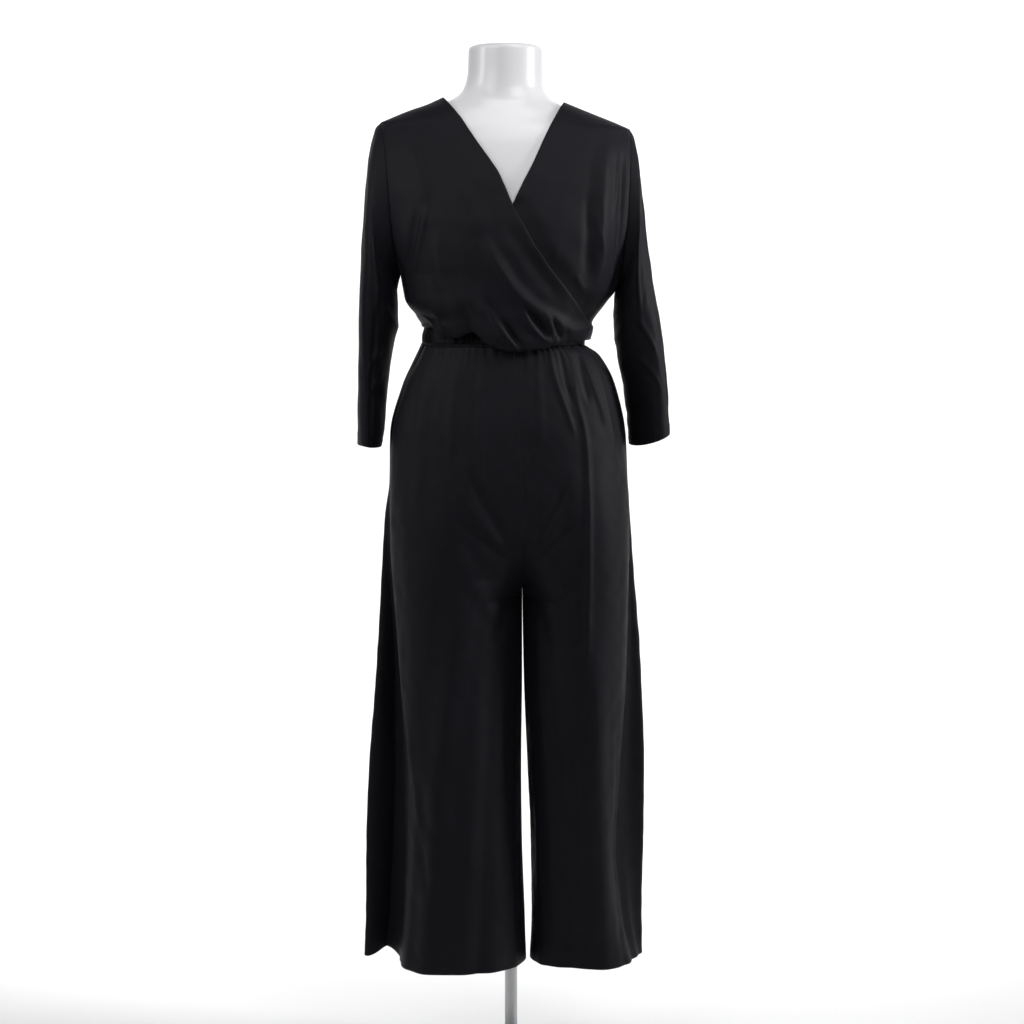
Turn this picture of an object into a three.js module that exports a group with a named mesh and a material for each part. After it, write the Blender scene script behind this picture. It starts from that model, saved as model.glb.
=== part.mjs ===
// A black wrap-front jumpsuit with wide legs, worn by a limbless dress form on a pole and a floor plate.
// Millimetres, +Z up, -Y is the front, +X is the wearer's left. The origin is under the plate's middle.
import * as THREE from 'three';
import { mergeVertices } from 'three/addons/utils/BufferGeometryUtils.js';

// Driving sizes
const CLOTH = 1.6;            // wall of the jersey
const SEAM_GAP = 0.3;         // between two pieces that are sewn together
const HALF_GAP = SEAM_GAP / 2;
const ARMHOLE_SHIFT = 0.32;    // bodice and sleeve each stand back this far along X at the armhole
const HEM_Z = 177;
const CROTCH_Z = 740;
const CROTCH_CURVE_Z = 840;   // the crotch seam starts to curve under here
const TROUSER_TOP_Z = 1112;
const LOBE_TOP_Z = 960;       // under here the side of each leg folds forward past its seam
const SEAM_BACK = 24;         // the side seam lies this far behind that fold
const LOBE_EASE = 14;         // how far the fold runs straight forward before it turns in
const FOLD_EASE = 0.4;        // the same for its hollow, as a share of the way across
const BACK_WALL = 16;         // the back panel runs straight this far from the side seam
const CASING_HEIGHT = 26.4;
const CASING_WALL = 5;        // elastic inside two layers of gathered jersey
const CASING_HALF = { right: 136, left: 111, front: 99, back: 88 };
const CASING_ROUNDNESS = 2.05;
const CASING_BOTTOM_Z = TROUSER_TOP_Z + SEAM_GAP;
const CASING_TOP_Z = CASING_BOTTOM_Z + CASING_HEIGHT;
const BODICE_SEAM_Z = CASING_TOP_Z + SEAM_GAP;
const MID_Y = 5;              // the side seams and shoulder seams lie in this plane
const INSEAM_Y = 6;
const BODY_ROUNDNESS = 2.2;   // exponent of the body's horizontal sections
const ARMHOLE_DEPTH = 66;     // half the armhole, from front to back
const LAP = 2;                // the underlap lies this far inside the body's surface
const LAP_ROLL = 1.6;         // and this much more along the turned-under part of the blouson
const LAP_LIFT = 3.4;         // and the overlap this far outside it
const TOP_CROWDING = 1.35;    // rows lie closer together towards the shoulders
const POLE_RADIUS = 9.5;
const COLLAR_RADIUS = 21;
const COLLAR_HEIGHT = 26;
const PLATE_RADIUS = 160;
const PLATE_HEIGHT = 9;
const PLATE_EDGE = 2.5;
const BOSS_RADIUS = 19;
const BOSS_TOP_Z = 34;
const FORM_GAP = SEAM_GAP;

// Counts of faces
const TROUSER_COLUMNS = 17;
const OVERLAP_COLUMNS = 14;
const UNDERLAP_COLUMNS = 12;
const LAP_CROWDING = { overlap: 1.25, underlap: 1.6 };  // columns crowd towards the wearer's left
const BACK_COLUMNS = 22;
const SIDE_CROWDING = 1.3;    // columns of the front panels lie closer together towards the side
const SEAM_ROWS = 5;
const ARMHOLE_STEPS = 9;
const ROLL_STEPS = 6;
const SLEEVE_ROWS = 11;
const CASING_COLUMNS = 48;
const FORM_COLUMNS = 28;

// Leg sections from the waist down. side is the outermost point, tuck the hollow behind the front
// fold and wall where the front starts to turn. front and back are the depth, middle the x of the
// foremost point and inner the x of the inseam or of the centre seam.
const RIGHT_LEG_SIDE = [
  { z: 1112, side: -134.5, sideY: 5, tuck: -132, tuckY: -16, wall: -127, wallY: -30 },
  { z: 1099, side: -141, sideY: 5, tuck: -138.5, tuckY: -15.5, wall: -133.5, wallY: -29.5 },
  { z: 1054, side: -162.5, sideY: 6, tuck: -160, tuckY: -14, wall: -156, wallY: -28 },
  { z: 979, side: -182, sideY: 8, tuck: -180, tuckY: -12, wall: -176.5, wallY: -26 },
  { z: 909, side: -183.5, sideY: 10, tuck: -182, tuckY: -8, wall: -180, wallY: -22 },
  { z: 855, side: -191, sideY: 12, tuck: -183, tuckY: -2, wall: -179, wallY: -20 },
  { z: 759, side: -197, sideY: 14, tuck: -181, tuckY: 8, wall: -174.5, wallY: -18 },
  { z: 623, side: -205, sideY: 15, tuck: -176, tuckY: 18, wall: -167, wallY: -18 },
  { z: 475, side: -217, sideY: 16, tuck: -176, tuckY: 24, wall: -160, wallY: -18 },
  { z: 367, side: -222.5, sideY: 16, tuck: -180, tuckY: 27, wall: -160, wallY: -18 },
  { z: 249, side: -224, sideY: 15, tuck: -186, tuckY: 30, wall: -164, wallY: -20 },
  { z: 177, side: -225.5, sideY: 14, tuck: -192, tuckY: 32, wall: -170, wallY: -22 },
];
const RIGHT_LEG_DEPTH = [
  { z: 1112, front: -92.5, back: 92, middle: 4, inner: 4 },
  { z: 1099, front: -95, back: 94.5, middle: 5, inner: 5 },
  { z: 1054, front: -103, back: 102, middle: 8, inner: 8 },
  { z: 979, front: -110, back: 113, middle: -10, inner: 13 },
  { z: 909, front: -112, back: 117, middle: -40, inner: 18 },
  { z: 855, front: -110, back: 114, middle: -62, inner: 20 },
  { z: 759, front: -104, back: 108, middle: -74, inner: 17 },
  { z: 623, front: -98, back: 104, middle: -74, inner: 17 },
  { z: 475, front: -94, back: 101, middle: -72, inner: 15.7 },
  { z: 367, front: -93, back: 99, middle: -72, inner: 16.8 },
  { z: 249, front: -92, back: 97, middle: -74, inner: 21 },
  { z: 177, front: -92, back: 96, middle: -76, inner: 23 },
];
const LEFT_LEG_SIDE = [
  { z: 1112, side: 111, sideY: 5, tuck: 109, tuckY: -16, wall: 104, wallY: -30 },
  { z: 1099, side: 131, sideY: 5, tuck: 128.5, tuckY: -15, wall: 124, wallY: -29 },
  { z: 1054, side: 156, sideY: 6, tuck: 153.5, tuckY: -14, wall: 149, wallY: -28 },
  { z: 979, side: 172.5, sideY: 8, tuck: 169, tuckY: -10, wall: 164.5, wallY: -24 },
  { z: 909, side: 176, sideY: 10, tuck: 173, tuckY: -8, wall: 171, wallY: -22 },
  { z: 855, side: 180, sideY: 14, tuck: 175, tuckY: -2, wall: 174, wallY: -20 },
  { z: 759, side: 187, sideY: 18, tuck: 176, tuckY: 4, wall: 173, wallY: -20 },
  { z: 623, side: 198, sideY: 22, tuck: 178, tuckY: 8, wall: 170.5, wallY: -18 },
  { z: 475, side: 205, sideY: 26, tuck: 176, tuckY: 10, wall: 161, wallY: -18 },
  { z: 367, side: 204.5, sideY: 28, tuck: 174, tuckY: 8, wall: 157, wallY: -16 },
  { z: 249, side: 201.5, sideY: 29, tuck: 182, tuckY: 4, wall: 168, wallY: -14 },
  { z: 177, side: 202, sideY: 30, tuck: 194, tuckY: 4, wall: 184, wallY: -16 },
];
const LEFT_LEG_DEPTH = [
  { z: 1112, front: -92.5, back: 92, middle: 4, inner: 4 },
  { z: 1099, front: -95, back: 94.5, middle: 5, inner: 5 },
  { z: 1054, front: -103, back: 102, middle: 8, inner: 8 },
  { z: 979, front: -110, back: 113, middle: 34, inner: 13 },
  { z: 909, front: -110, back: 117, middle: 66, inner: 18 },
  { z: 855, front: -107, back: 114, middle: 88, inner: 20 },
  { z: 759, front: -99, back: 109, middle: 98, inner: 17 },
  { z: 623, front: -90, back: 106, middle: 98, inner: 19 },
  { z: 475, front: -80, back: 106, middle: 96, inner: 25 },
  { z: 367, front: -73, back: 108, middle: 98, inner: 30 },
  { z: 249, front: -66, back: 110, middle: 108, inner: 31.5 },
  { z: 177, front: -62, back: 110, middle: 114, inner: 29 },
];

const joinedRows = (sides, depths) => sides.map((row, i) => ({ ...row, ...depths[i] }));
const RIGHT_LEG = joinedRows(RIGHT_LEG_SIDE, RIGHT_LEG_DEPTH);
const LEFT_LEG = joinedRows(LEFT_LEG_SIDE, LEFT_LEG_DEPTH);

// Folds of the trousers. at and foot are shares of the way from the side seam to the centre or
// inseam, at the fold's top and bottom. width is half its width and rise its height.
const RIGHT_FRONT_FOLDS = [
  { at: 0.24, foot: 0.26, top: 1112, bottom: 1010, width: 13, rise: 2.6 },
  { at: 0.40, foot: 0.40, top: 1112, bottom: 985, width: 12, rise: 2.4 },
  { at: 0.55, foot: 0.52, top: 1112, bottom: 900, width: 14, rise: 3.2 },
  { at: 0.70, foot: 0.66, top: 1112, bottom: 1000, width: 12, rise: 2.4 },
  { at: 0.85, foot: 0.80, top: 1112, bottom: 960, width: 12, rise: 2.6 },
  { at: 0.60, foot: 0.50, top: 820, bottom: 177, width: 34, rise: 6 },
  { at: 0.76, foot: 0.70, top: 760, bottom: 177, width: 26, rise: -5 },
  { at: 0.36, foot: 0.34, top: 700, bottom: 177, width: 24, rise: -3.5 },
];
const LEFT_FRONT_FOLDS = [
  { at: 0.16, foot: 0.20, top: 1112, bottom: 930, width: 13, rise: 3.2 },
  { at: 0.30, foot: 0.29, top: 1112, bottom: 940, width: 12, rise: 3 },
  { at: 0.44, foot: 0.42, top: 1112, bottom: 700, width: 15, rise: 5 },
  { at: 0.60, foot: 0.56, top: 1112, bottom: 930, width: 12, rise: 3.2 },
  { at: 0.74, foot: 0.70, top: 1112, bottom: 1000, width: 11, rise: 2.4 },
  { at: 0.88, foot: 0.84, top: 1112, bottom: 1010, width: 11, rise: 2.2 },
  { at: 0.52, foot: 0.48, top: 800, bottom: 177, width: 30, rise: 5 },
  { at: 0.74, foot: 0.66, top: 760, bottom: 177, width: 26, rise: -4.5 },
];
const RIGHT_BACK_FOLDS = [
  { at: 0.14, foot: 0.18, top: 1112, bottom: 1000, width: 12, rise: 2.4 },
  { at: 0.30, foot: 0.31, top: 1112, bottom: 960, width: 13, rise: 3 },
  { at: 0.46, foot: 0.46, top: 1112, bottom: 990, width: 12, rise: 2.6 },
  { at: 0.62, foot: 0.60, top: 1112, bottom: 940, width: 13, rise: 3 },
  { at: 0.78, foot: 0.74, top: 1112, bottom: 1000, width: 12, rise: 2.4 },
  { at: 0.90, foot: 0.88, top: 1112, bottom: 1020, width: 10, rise: 2 },
  { at: 0.30, foot: 0.28, top: 850, bottom: 177, width: 32, rise: 9 },
  { at: 0.47, foot: 0.44, top: 800, bottom: 177, width: 26, rise: -7 },
  { at: 0.66, foot: 0.60, top: 760, bottom: 177, width: 32, rise: 9 },
];
const LEFT_BACK_FOLDS = [
  { at: 0.18, foot: 0.20, top: 1112, bottom: 980, width: 12, rise: 2.6 },
  { at: 0.34, foot: 0.34, top: 1112, bottom: 1000, width: 12, rise: 2.6 },
  { at: 0.50, foot: 0.48, top: 1112, bottom: 940, width: 13, rise: 3.2 },
  { at: 0.66, foot: 0.64, top: 1112, bottom: 1000, width: 12, rise: 2.4 },
  { at: 0.82, foot: 0.80, top: 1112, bottom: 970, width: 12, rise: 2.6 },
  { at: 0.24, foot: 0.22, top: 850, bottom: 177, width: 30, rise: 10 },
  { at: 0.40, foot: 0.38, top: 800, bottom: 177, width: 26, rise: -9 },
  { at: 0.56, foot: 0.53, top: 780, bottom: 177, width: 28, rise: 10 },
  { at: 0.74, foot: 0.68, top: 740, bottom: 177, width: 26, rise: -8 },
];

// Edges of the bodice seen from the front: side seam, armhole and shoulder of each side
const RIGHT_EDGE = [
  { z: 1139, x: -131 }, { z: 1149, x: -130 }, { z: 1159, x: -142 }, { z: 1169, x: -152 },
  { z: 1180, x: -158.5 }, { z: 1196, x: -161.5 }, { z: 1216, x: -165 }, { z: 1250, x: -171 },
  { z: 1300, x: -176 }, { z: 1350, x: -180 }, { z: 1400, x: -185 }, { z: 1430, x: -190 },
  { z: 1441, x: -194 },
];
const LEFT_EDGE = [
  { z: 1139, x: 124 }, { z: 1145, x: 121 }, { z: 1156, x: 127 }, { z: 1168, x: 136.5 },
  { z: 1180, x: 145.5 }, { z: 1192, x: 155 }, { z: 1240, x: 164 }, { z: 1290, x: 170 },
  { z: 1340, x: 173 }, { z: 1390, x: 175 }, { z: 1420, x: 175.5 }, { z: 1431, x: 176.5 },
];
const RIGHT_SHOULDER = [
  { z: 1441, x: -194 }, { z: 1456, x: -157.5 }, { z: 1467.5, x: -125 }, { z: 1478, x: -101 },
];
const LEFT_SHOULDER = [
  { z: 1431, x: 176.5 }, { z: 1440.5, x: 155 }, { z: 1452, x: 126 }, { z: 1471, x: 79 },
];
const RIGHT_ARMHOLE = { bottom: 1216, top: 1441 };
const LEFT_ARMHOLE = { bottom: 1192, top: 1431 };

// How far the bodice stands from the side plane at its middle
const BODICE_DEPTH = [
  { z: 1100, front: 120, back: 98 }, { z: 1139, front: 124, back: 101 },
  { z: 1200, front: 129, back: 103 }, { z: 1250, front: 132, back: 99 },
  { z: 1290, front: 129, back: 95 }, { z: 1312, front: 124.5, back: 94 },
  { z: 1341, front: 118, back: 94 }, { z: 1361, front: 112, back: 93 },
  { z: 1385, front: 103, back: 92 }, { z: 1412, front: 91, back: 89 }, { z: 1441, front: 76, back: 82 },
  { z: 1460, front: 66, back: 75 }, { z: 1478, front: 58, back: 67 },
];

// The wrap edge of the overlap with its neckline, and the neckline of the underlap
const OVERLAP_EDGE = [
  { x: 119, z: 1140 }, { x: 113, z: 1149 }, { x: 107, z: 1158 }, { x: 94, z: 1177 },
  { x: 72.5, z: 1204 }, { x: 53, z: 1229 }, { x: 34, z: 1257 }, { x: 19, z: 1285 }, { x: 3, z: 1312 },
  { x: -9, z: 1341 }, { x: -18, z: 1361.5 }, { x: -34, z: 1385.5 }, { x: -53, z: 1412 },
  { x: -73, z: 1443 }, { x: -101, z: 1478 },
];
const UNDERLAP_EDGE = [
  { x: -84, z: 1122 }, { x: -70, z: 1160 }, { x: -48, z: 1210 }, { x: -26, z: 1258 }, { x: 3, z: 1312 },
  { x: 19, z: 1347 }, { x: 32, z: 1373 }, { x: 47.5, z: 1409 }, { x: 59, z: 1434 }, { x: 79, z: 1471 },
];
const BACK_NECK_DROP = 17;

// How far the blouson hangs below its seam, by place across
const FRONT_DROOP = [
  { x: -132, drop: 0 }, { x: -122, drop: 0.5 }, { x: -112, drop: 3 }, { x: -94, drop: 16 },
  { x: -59, drop: 25 }, { x: -16, drop: 32 }, { x: 6, drop: 35 }, { x: 42, drop: 32 },
  { x: 71, drop: 26 }, { x: 89, drop: 23 }, { x: 106, drop: 21 }, { x: 124, drop: 19.05 },
  { x: 130, drop: 19.05 },
];
const BACK_DROOP = [
  { x: -132, drop: 0 }, { x: -118, drop: 1 }, { x: -96, drop: 9 }, { x: -40, drop: 16 },
  { x: 20, drop: 17 }, { x: 88, drop: 18 }, { x: 106, drop: 18.6 }, { x: 124, drop: 19.05 },
  { x: 130, drop: 19.05 },
];

// Folds of the bodice, from one end through a middle point to the other, seen from the front
const OVERLAP_FOLDS = [
  { x0: -34, z0: 1250, xm: -6, zm: 1192, x1: 24, z1: 1128, width: 15, rise: 5 },
  { x0: 0, z0: 1188, xm: 42, zm: 1153, x1: 98, z1: 1128, width: 15, rise: 6 },
  { x0: -120, z0: 1262, xm: -112, zm: 1215, x1: -96, z1: 1150, width: 17, rise: 4 },
  { x0: -76, z0: 1240, xm: -70, zm: 1190, x1: -60, z1: 1135, width: 17, rise: 4 },
  { x0: -132, z0: 1330, xm: -142, zm: 1262, x1: -152, z1: 1205, width: 14, rise: -4 },
];
const UNDERLAP_FOLDS = [
  { x0: 134, z0: 1380, xm: 138, zm: 1290, x1: 136, z1: 1215, width: 16, rise: 5 },
  { x0: 156, z0: 1370, xm: 156, zm: 1300, x1: 150, z1: 1225, width: 12, rise: -3.5 },
];
const BACK_FOLDS = [
  { x0: -120, z0: 1290, xm: -104, zm: 1220, x1: -78, z1: 1150, width: 18, rise: 5 },
  { x0: 112, z0: 1290, xm: 98, zm: 1220, x1: 76, z1: 1150, width: 18, rise: 5 },
  { x0: -52, z0: 1250, xm: -46, zm: 1200, x1: -38, z1: 1145, width: 16, rise: 4 },
  { x0: 34, z0: 1250, xm: 32, zm: 1200, x1: 28, z1: 1145, width: 16, rise: 4 },
  { x0: -6, z0: 1230, xm: -6, zm: 1190, x1: -4, z1: 1145, width: 13, rise: 3 },
];

// Outer and inner edges of each sleeve seen from the front, from its head to the cuff
const RIGHT_SLEEVE_OUTER = [
  { x: -194, z: 1441 }, { x: -201, z: 1434 }, { x: -207, z: 1412 }, { x: -212, z: 1387 },
  { x: -216, z: 1348 }, { x: -219, z: 1307 }, { x: -222.4, z: 1259 }, { x: -225.5, z: 1195 },
  { x: -227.2, z: 1130 }, { x: -228.2, z: 1078 }, { x: -229.4, z: 1028 }, { x: -230.5, z: 966 },
];
const RIGHT_SLEEVE_INNER = [
  { x: -165, z: 1216 }, { x: -170, z: 1195 }, { x: -169, z: 1162 }, { x: -168, z: 1140 },
  { x: -172, z: 1128 }, { x: -178, z: 1103 }, { x: -183, z: 1064 }, { x: -187.4, z: 1025 },
  { x: -190, z: 986 }, { x: -195, z: 961 },
];
const LEFT_SLEEVE_OUTER = [
  { x: 176.5, z: 1431 }, { x: 182, z: 1422 }, { x: 185, z: 1408 }, { x: 186.5, z: 1393 },
  { x: 190.5, z: 1354 }, { x: 197.4, z: 1291 }, { x: 204, z: 1226 }, { x: 210.8, z: 1178 },
  { x: 217.8, z: 1113 }, { x: 222.8, z: 1070 }, { x: 228, z: 1022 }, { x: 233, z: 984 },
];
const LEFT_SLEEVE_INNER = [
  { x: 155, z: 1192 }, { x: 154, z: 1180 }, { x: 152.5, z: 1156 }, { x: 155, z: 1120 },
  { x: 161, z: 1087 }, { x: 170, z: 1051 }, { x: 177, z: 1010 }, { x: 182, z: 963 },
];
const UNDERARM_CLEARANCE = 13;  // the sleeve's front and back stand this far off the bodice
const CUFF_DEPTH = { right: 63, left: 57 };
const SLEEVE_LEAN = { right: 0, left: -0.24 };  // the left sleeve turns its back edge towards the hip
const SLEEVE_FOLDS = [
  { angle: 62, turn: 24, from: 0.04, to: 0.8, width: 13, rise: 3.5 },
  { angle: 118, turn: -10, from: 0.25, to: 1, width: 12, rise: -3 },
  { angle: 296, turn: -20, from: 0.06, to: 0.85, width: 13, rise: 3.5 },
  { angle: 244, turn: 8, from: 0.3, to: 1, width: 12, rise: -3 },
];

// Sections of the dress form. left and right are the wearer's.
const FORM_SECTIONS = [
  { z: 845, right: -150, left: 142, front: -88, back: 92, power: 2.3 },
  { z: 853, right: -161, left: 153, front: -95, back: 98, power: 2.3 },
  { z: 875, right: -168, left: 161, front: -99, back: 103, power: 2.3 },
  { z: 915, right: -172, left: 165, front: -101, back: 106, power: 2.3 },
  { z: 965, right: -169, left: 160, front: -99, back: 103, power: 2.3 },
  { z: 1015, right: -160, left: 151, front: -95, back: 97, power: 2.2 },
  { z: 1060, right: -139, left: 126, front: -85, back: 85, power: 2.2 },
  { z: 1100, right: -122, left: 105, front: -79, back: 78, power: 2.2 },
  { z: 1125, right: -117, left: 99, front: -76, back: 76, power: 2.2 },
  { z: 1150, right: -117, left: 98, front: -78, back: 77, power: 2.2 },
  { z: 1190, right: -132, left: 119, front: -92, back: 84, power: 2.2 },
  { z: 1230, right: -147, left: 138, front: -107, back: 89, power: 2.2 },
  { z: 1270, right: -154, left: 145, front: -115, back: 90, power: 2.2 },
  { z: 1305, right: -158, left: 149, front: -114, back: 90, power: 2.2 },
  { z: 1340, right: -163, left: 154, front: -107.5, back: 90, power: 2.2 },
  { z: 1375, right: -170, left: 160, front: -97, back: 89, power: 2.2 },
  { z: 1405, right: -177, left: 165, front: -86, back: 86, power: 2.2 },
  { z: 1422, right: -182, left: 168, front: -78, back: 82, power: 2.2 },
  { z: 1432, right: -184, left: 158, front: -73, back: 79, power: 2.2 },
  { z: 1440, right: -180, left: 141, front: -68, back: 77, power: 2.2 },
  { z: 1449, right: -162, left: 118, front: -63, back: 74, power: 2.2 },
  { z: 1457, right: -138, left: 98, front: -59, back: 71, power: 2.2 },
  { z: 1465, right: -114, left: 78, front: -54, back: 67, power: 2.2 },
  { z: 1471, right: -97, left: 65, front: -51, back: 64, power: 2.15 },
  { z: 1479, right: -81, left: 56, front: -49, back: 62, power: 2.1 },
  { z: 1489, right: -71.5, left: 49.5, front: -47.5, back: 60.5, power: 2 },
  { z: 1502, right: -66.5, left: 46.8, front: -46.8, back: 60, power: 2 },
  { z: 1518, right: -64, left: 46.6, front: -46.5, back: 59.5, power: 2 },
  { z: 1546, right: -63, left: 46.6, front: -46.5, back: 59.5, power: 2 },
  { z: 1551, right: -61.5, left: 45.1, front: -45, back: 58, power: 2 },
  { z: 1553, right: -57, left: 40.6, front: -40.5, back: 53.5, power: 2 },
];

// Curves through a table

function slopes(keys, values) {
  const secants = [];
  for (let i = 0; i + 1 < keys.length; i += 1) {
    secants.push((values[i + 1] - values[i]) / (keys[i + 1] - keys[i]));
  }
  return keys.map((key, i) => {
    if (i === 0) return secants[0];
    if (i === keys.length - 1) return secants[i - 1];
    const [before, after] = [secants[i - 1], secants[i]];
    return before * after > 0 ? (2 * before * after) / (before + after) : 0;
  });
}

const prepared = new Map();

// A named column of a table at any place along its key column, smooth and without overshoot
function column(table, key, name, at) {
  const id = `${key}>${name}`;
  if (!prepared.has(table)) prepared.set(table, new Map());
  const columns = prepared.get(table);
  if (!columns.has(id)) {
    const rows = [...table].sort((a, b) => a[key] - b[key]);
    const keys = rows.map((row) => row[key]);
    const values = rows.map((row) => row[name]);
    columns.set(id, { keys, values, slope: slopes(keys, values) });
  }
  const { keys, values, slope } = columns.get(id);
  const last = keys.length - 1;
  if (at <= keys[0]) return values[0];
  if (at >= keys[last]) return values[last];
  let i = 0;
  while (at > keys[i + 1]) i += 1;
  const span = keys[i + 1] - keys[i];
  const t = (at - keys[i]) / span;
  const [t2, t3] = [t * t, t * t * t];
  return values[i] * (2 * t3 - 3 * t2 + 1) + slope[i] * span * (t3 - 2 * t2 + t)
    + values[i + 1] * (3 * t2 - 2 * t3) + slope[i + 1] * span * (t3 - t2);
}

const mix = THREE.MathUtils.lerp;
const limit = THREE.MathUtils.clamp;
const power = (value, exponent) => Math.sign(value) * Math.abs(value) ** exponent;
const bump = (distance) => (Math.abs(distance) < 1 ? 0.5 + 0.5 * Math.cos(Math.PI * distance) : 0);

// A line of points at even shares of its length, as a function that runs on past both ends
function alongLine(points) {
  const lengths = [0];
  for (let i = 1; i < points.length; i += 1) {
    const [before, after] = [points[i - 1], points[i]];
    lengths.push(lengths[i - 1] + Math.hypot(after[0] - before[0], after[1] - before[1]));
  }
  const total = lengths[lengths.length - 1];
  return {
    total,
    at(distance) {
      let i = 0;
      while (i < points.length - 2 && distance > lengths[i + 1]) i += 1;
      const t = (distance - lengths[i]) / (lengths[i + 1] - lengths[i]);
      return [mix(points[i][0], points[i + 1][0], t), mix(points[i][1], points[i + 1][1], t)];
    },
  };
}

function bezier(a, b, c, d, t) {
  const s = 1 - t;
  const [toA, toB, toC, toD] = [s * s * s, 3 * s * s * t, 3 * s * t * t, t * t * t];
  return a.map((value, i) => toA * value + toB * b[i] + toC * c[i] + toD * d[i]);
}

// Walls

// Joins an outer and an inner grid of points into one closed wall, open or closed around. The first
// rim's faces are split the other way up to a column, so that they match those of a piece beside it.
function wallGeometry(outer, inner, around, turnedColumns = 0) {
  const rows = outer.length;
  const columns = outer[0].length;
  const positions = [];
  for (const layer of [outer, inner]) {
    for (const row of layer) row.forEach((point) => positions.push(point.x, point.y, point.z));
  }
  const at = (layer, row, col) => (layer * rows + row) * columns + (col % columns);
  const index = [];
  const quad = (a, b, c, d) => index.push(a, b, c, a, c, d);
  const spans = around ? columns : columns - 1;
  for (let row = 0; row < rows - 1; row += 1) {
    for (let col = 0; col < spans; col += 1) {
      quad(at(0, row, col), at(0, row, col + 1), at(0, row + 1, col + 1), at(0, row + 1, col));
      quad(at(1, row, col), at(1, row + 1, col), at(1, row + 1, col + 1), at(1, row, col + 1));
    }
  }
  const top = rows - 1;
  for (let col = 0; col < spans; col += 1) {
    if (col < turnedColumns) quad(at(1, 0, col), at(1, 0, col + 1), at(0, 0, col + 1), at(0, 0, col));
    else quad(at(0, 0, col), at(1, 0, col), at(1, 0, col + 1), at(0, 0, col + 1));
    quad(at(0, top, col), at(0, top, col + 1), at(1, top, col + 1), at(1, top, col));
  }
  if (!around) {
    const end = columns - 1;
    for (let row = 0; row < top; row += 1) {
      quad(at(0, row, 0), at(0, row + 1, 0), at(1, row + 1, 0), at(1, row, 0));
      quad(at(0, row, end), at(1, row, end), at(1, row + 1, end), at(0, row + 1, end));
    }
  }
  return facingOut(positions, index);
}

// Turns every face over if the solid came out inside out
function facingOut(positions, index) {
  const corner = (i) => new THREE.Vector3().fromArray(positions, 3 * index[i]);
  let volume = 0;
  for (let i = 0; i < index.length; i += 3) volume += corner(i).dot(corner(i + 1).cross(corner(i + 2)));
  if (volume < 0) {
    for (let i = 0; i < index.length; i += 3) [index[i + 1], index[i + 2]] = [index[i + 2], index[i + 1]];
  }
  const geometry = new THREE.BufferGeometry();
  geometry.setAttribute('position', new THREE.Float32BufferAttribute(positions, 3));
  geometry.setIndex(index);
  return geometry;
}

// Trousers

// Height of the crotch seam's curve as an angle, 0 where it starts and a right angle at the crotch
function crotchAngle(z) {
  return Math.asin(limit((CROTCH_CURVE_Z - z) / (CROTCH_CURVE_Z - CROTCH_Z), 0, 1));
}

// Depth of the trousers at the centre seam, the same for both legs
const centreDepth = (name, z) => (column(RIGHT_LEG, 'z', name, z) + column(LEFT_LEG, 'z', name, z)) / 2;

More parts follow.
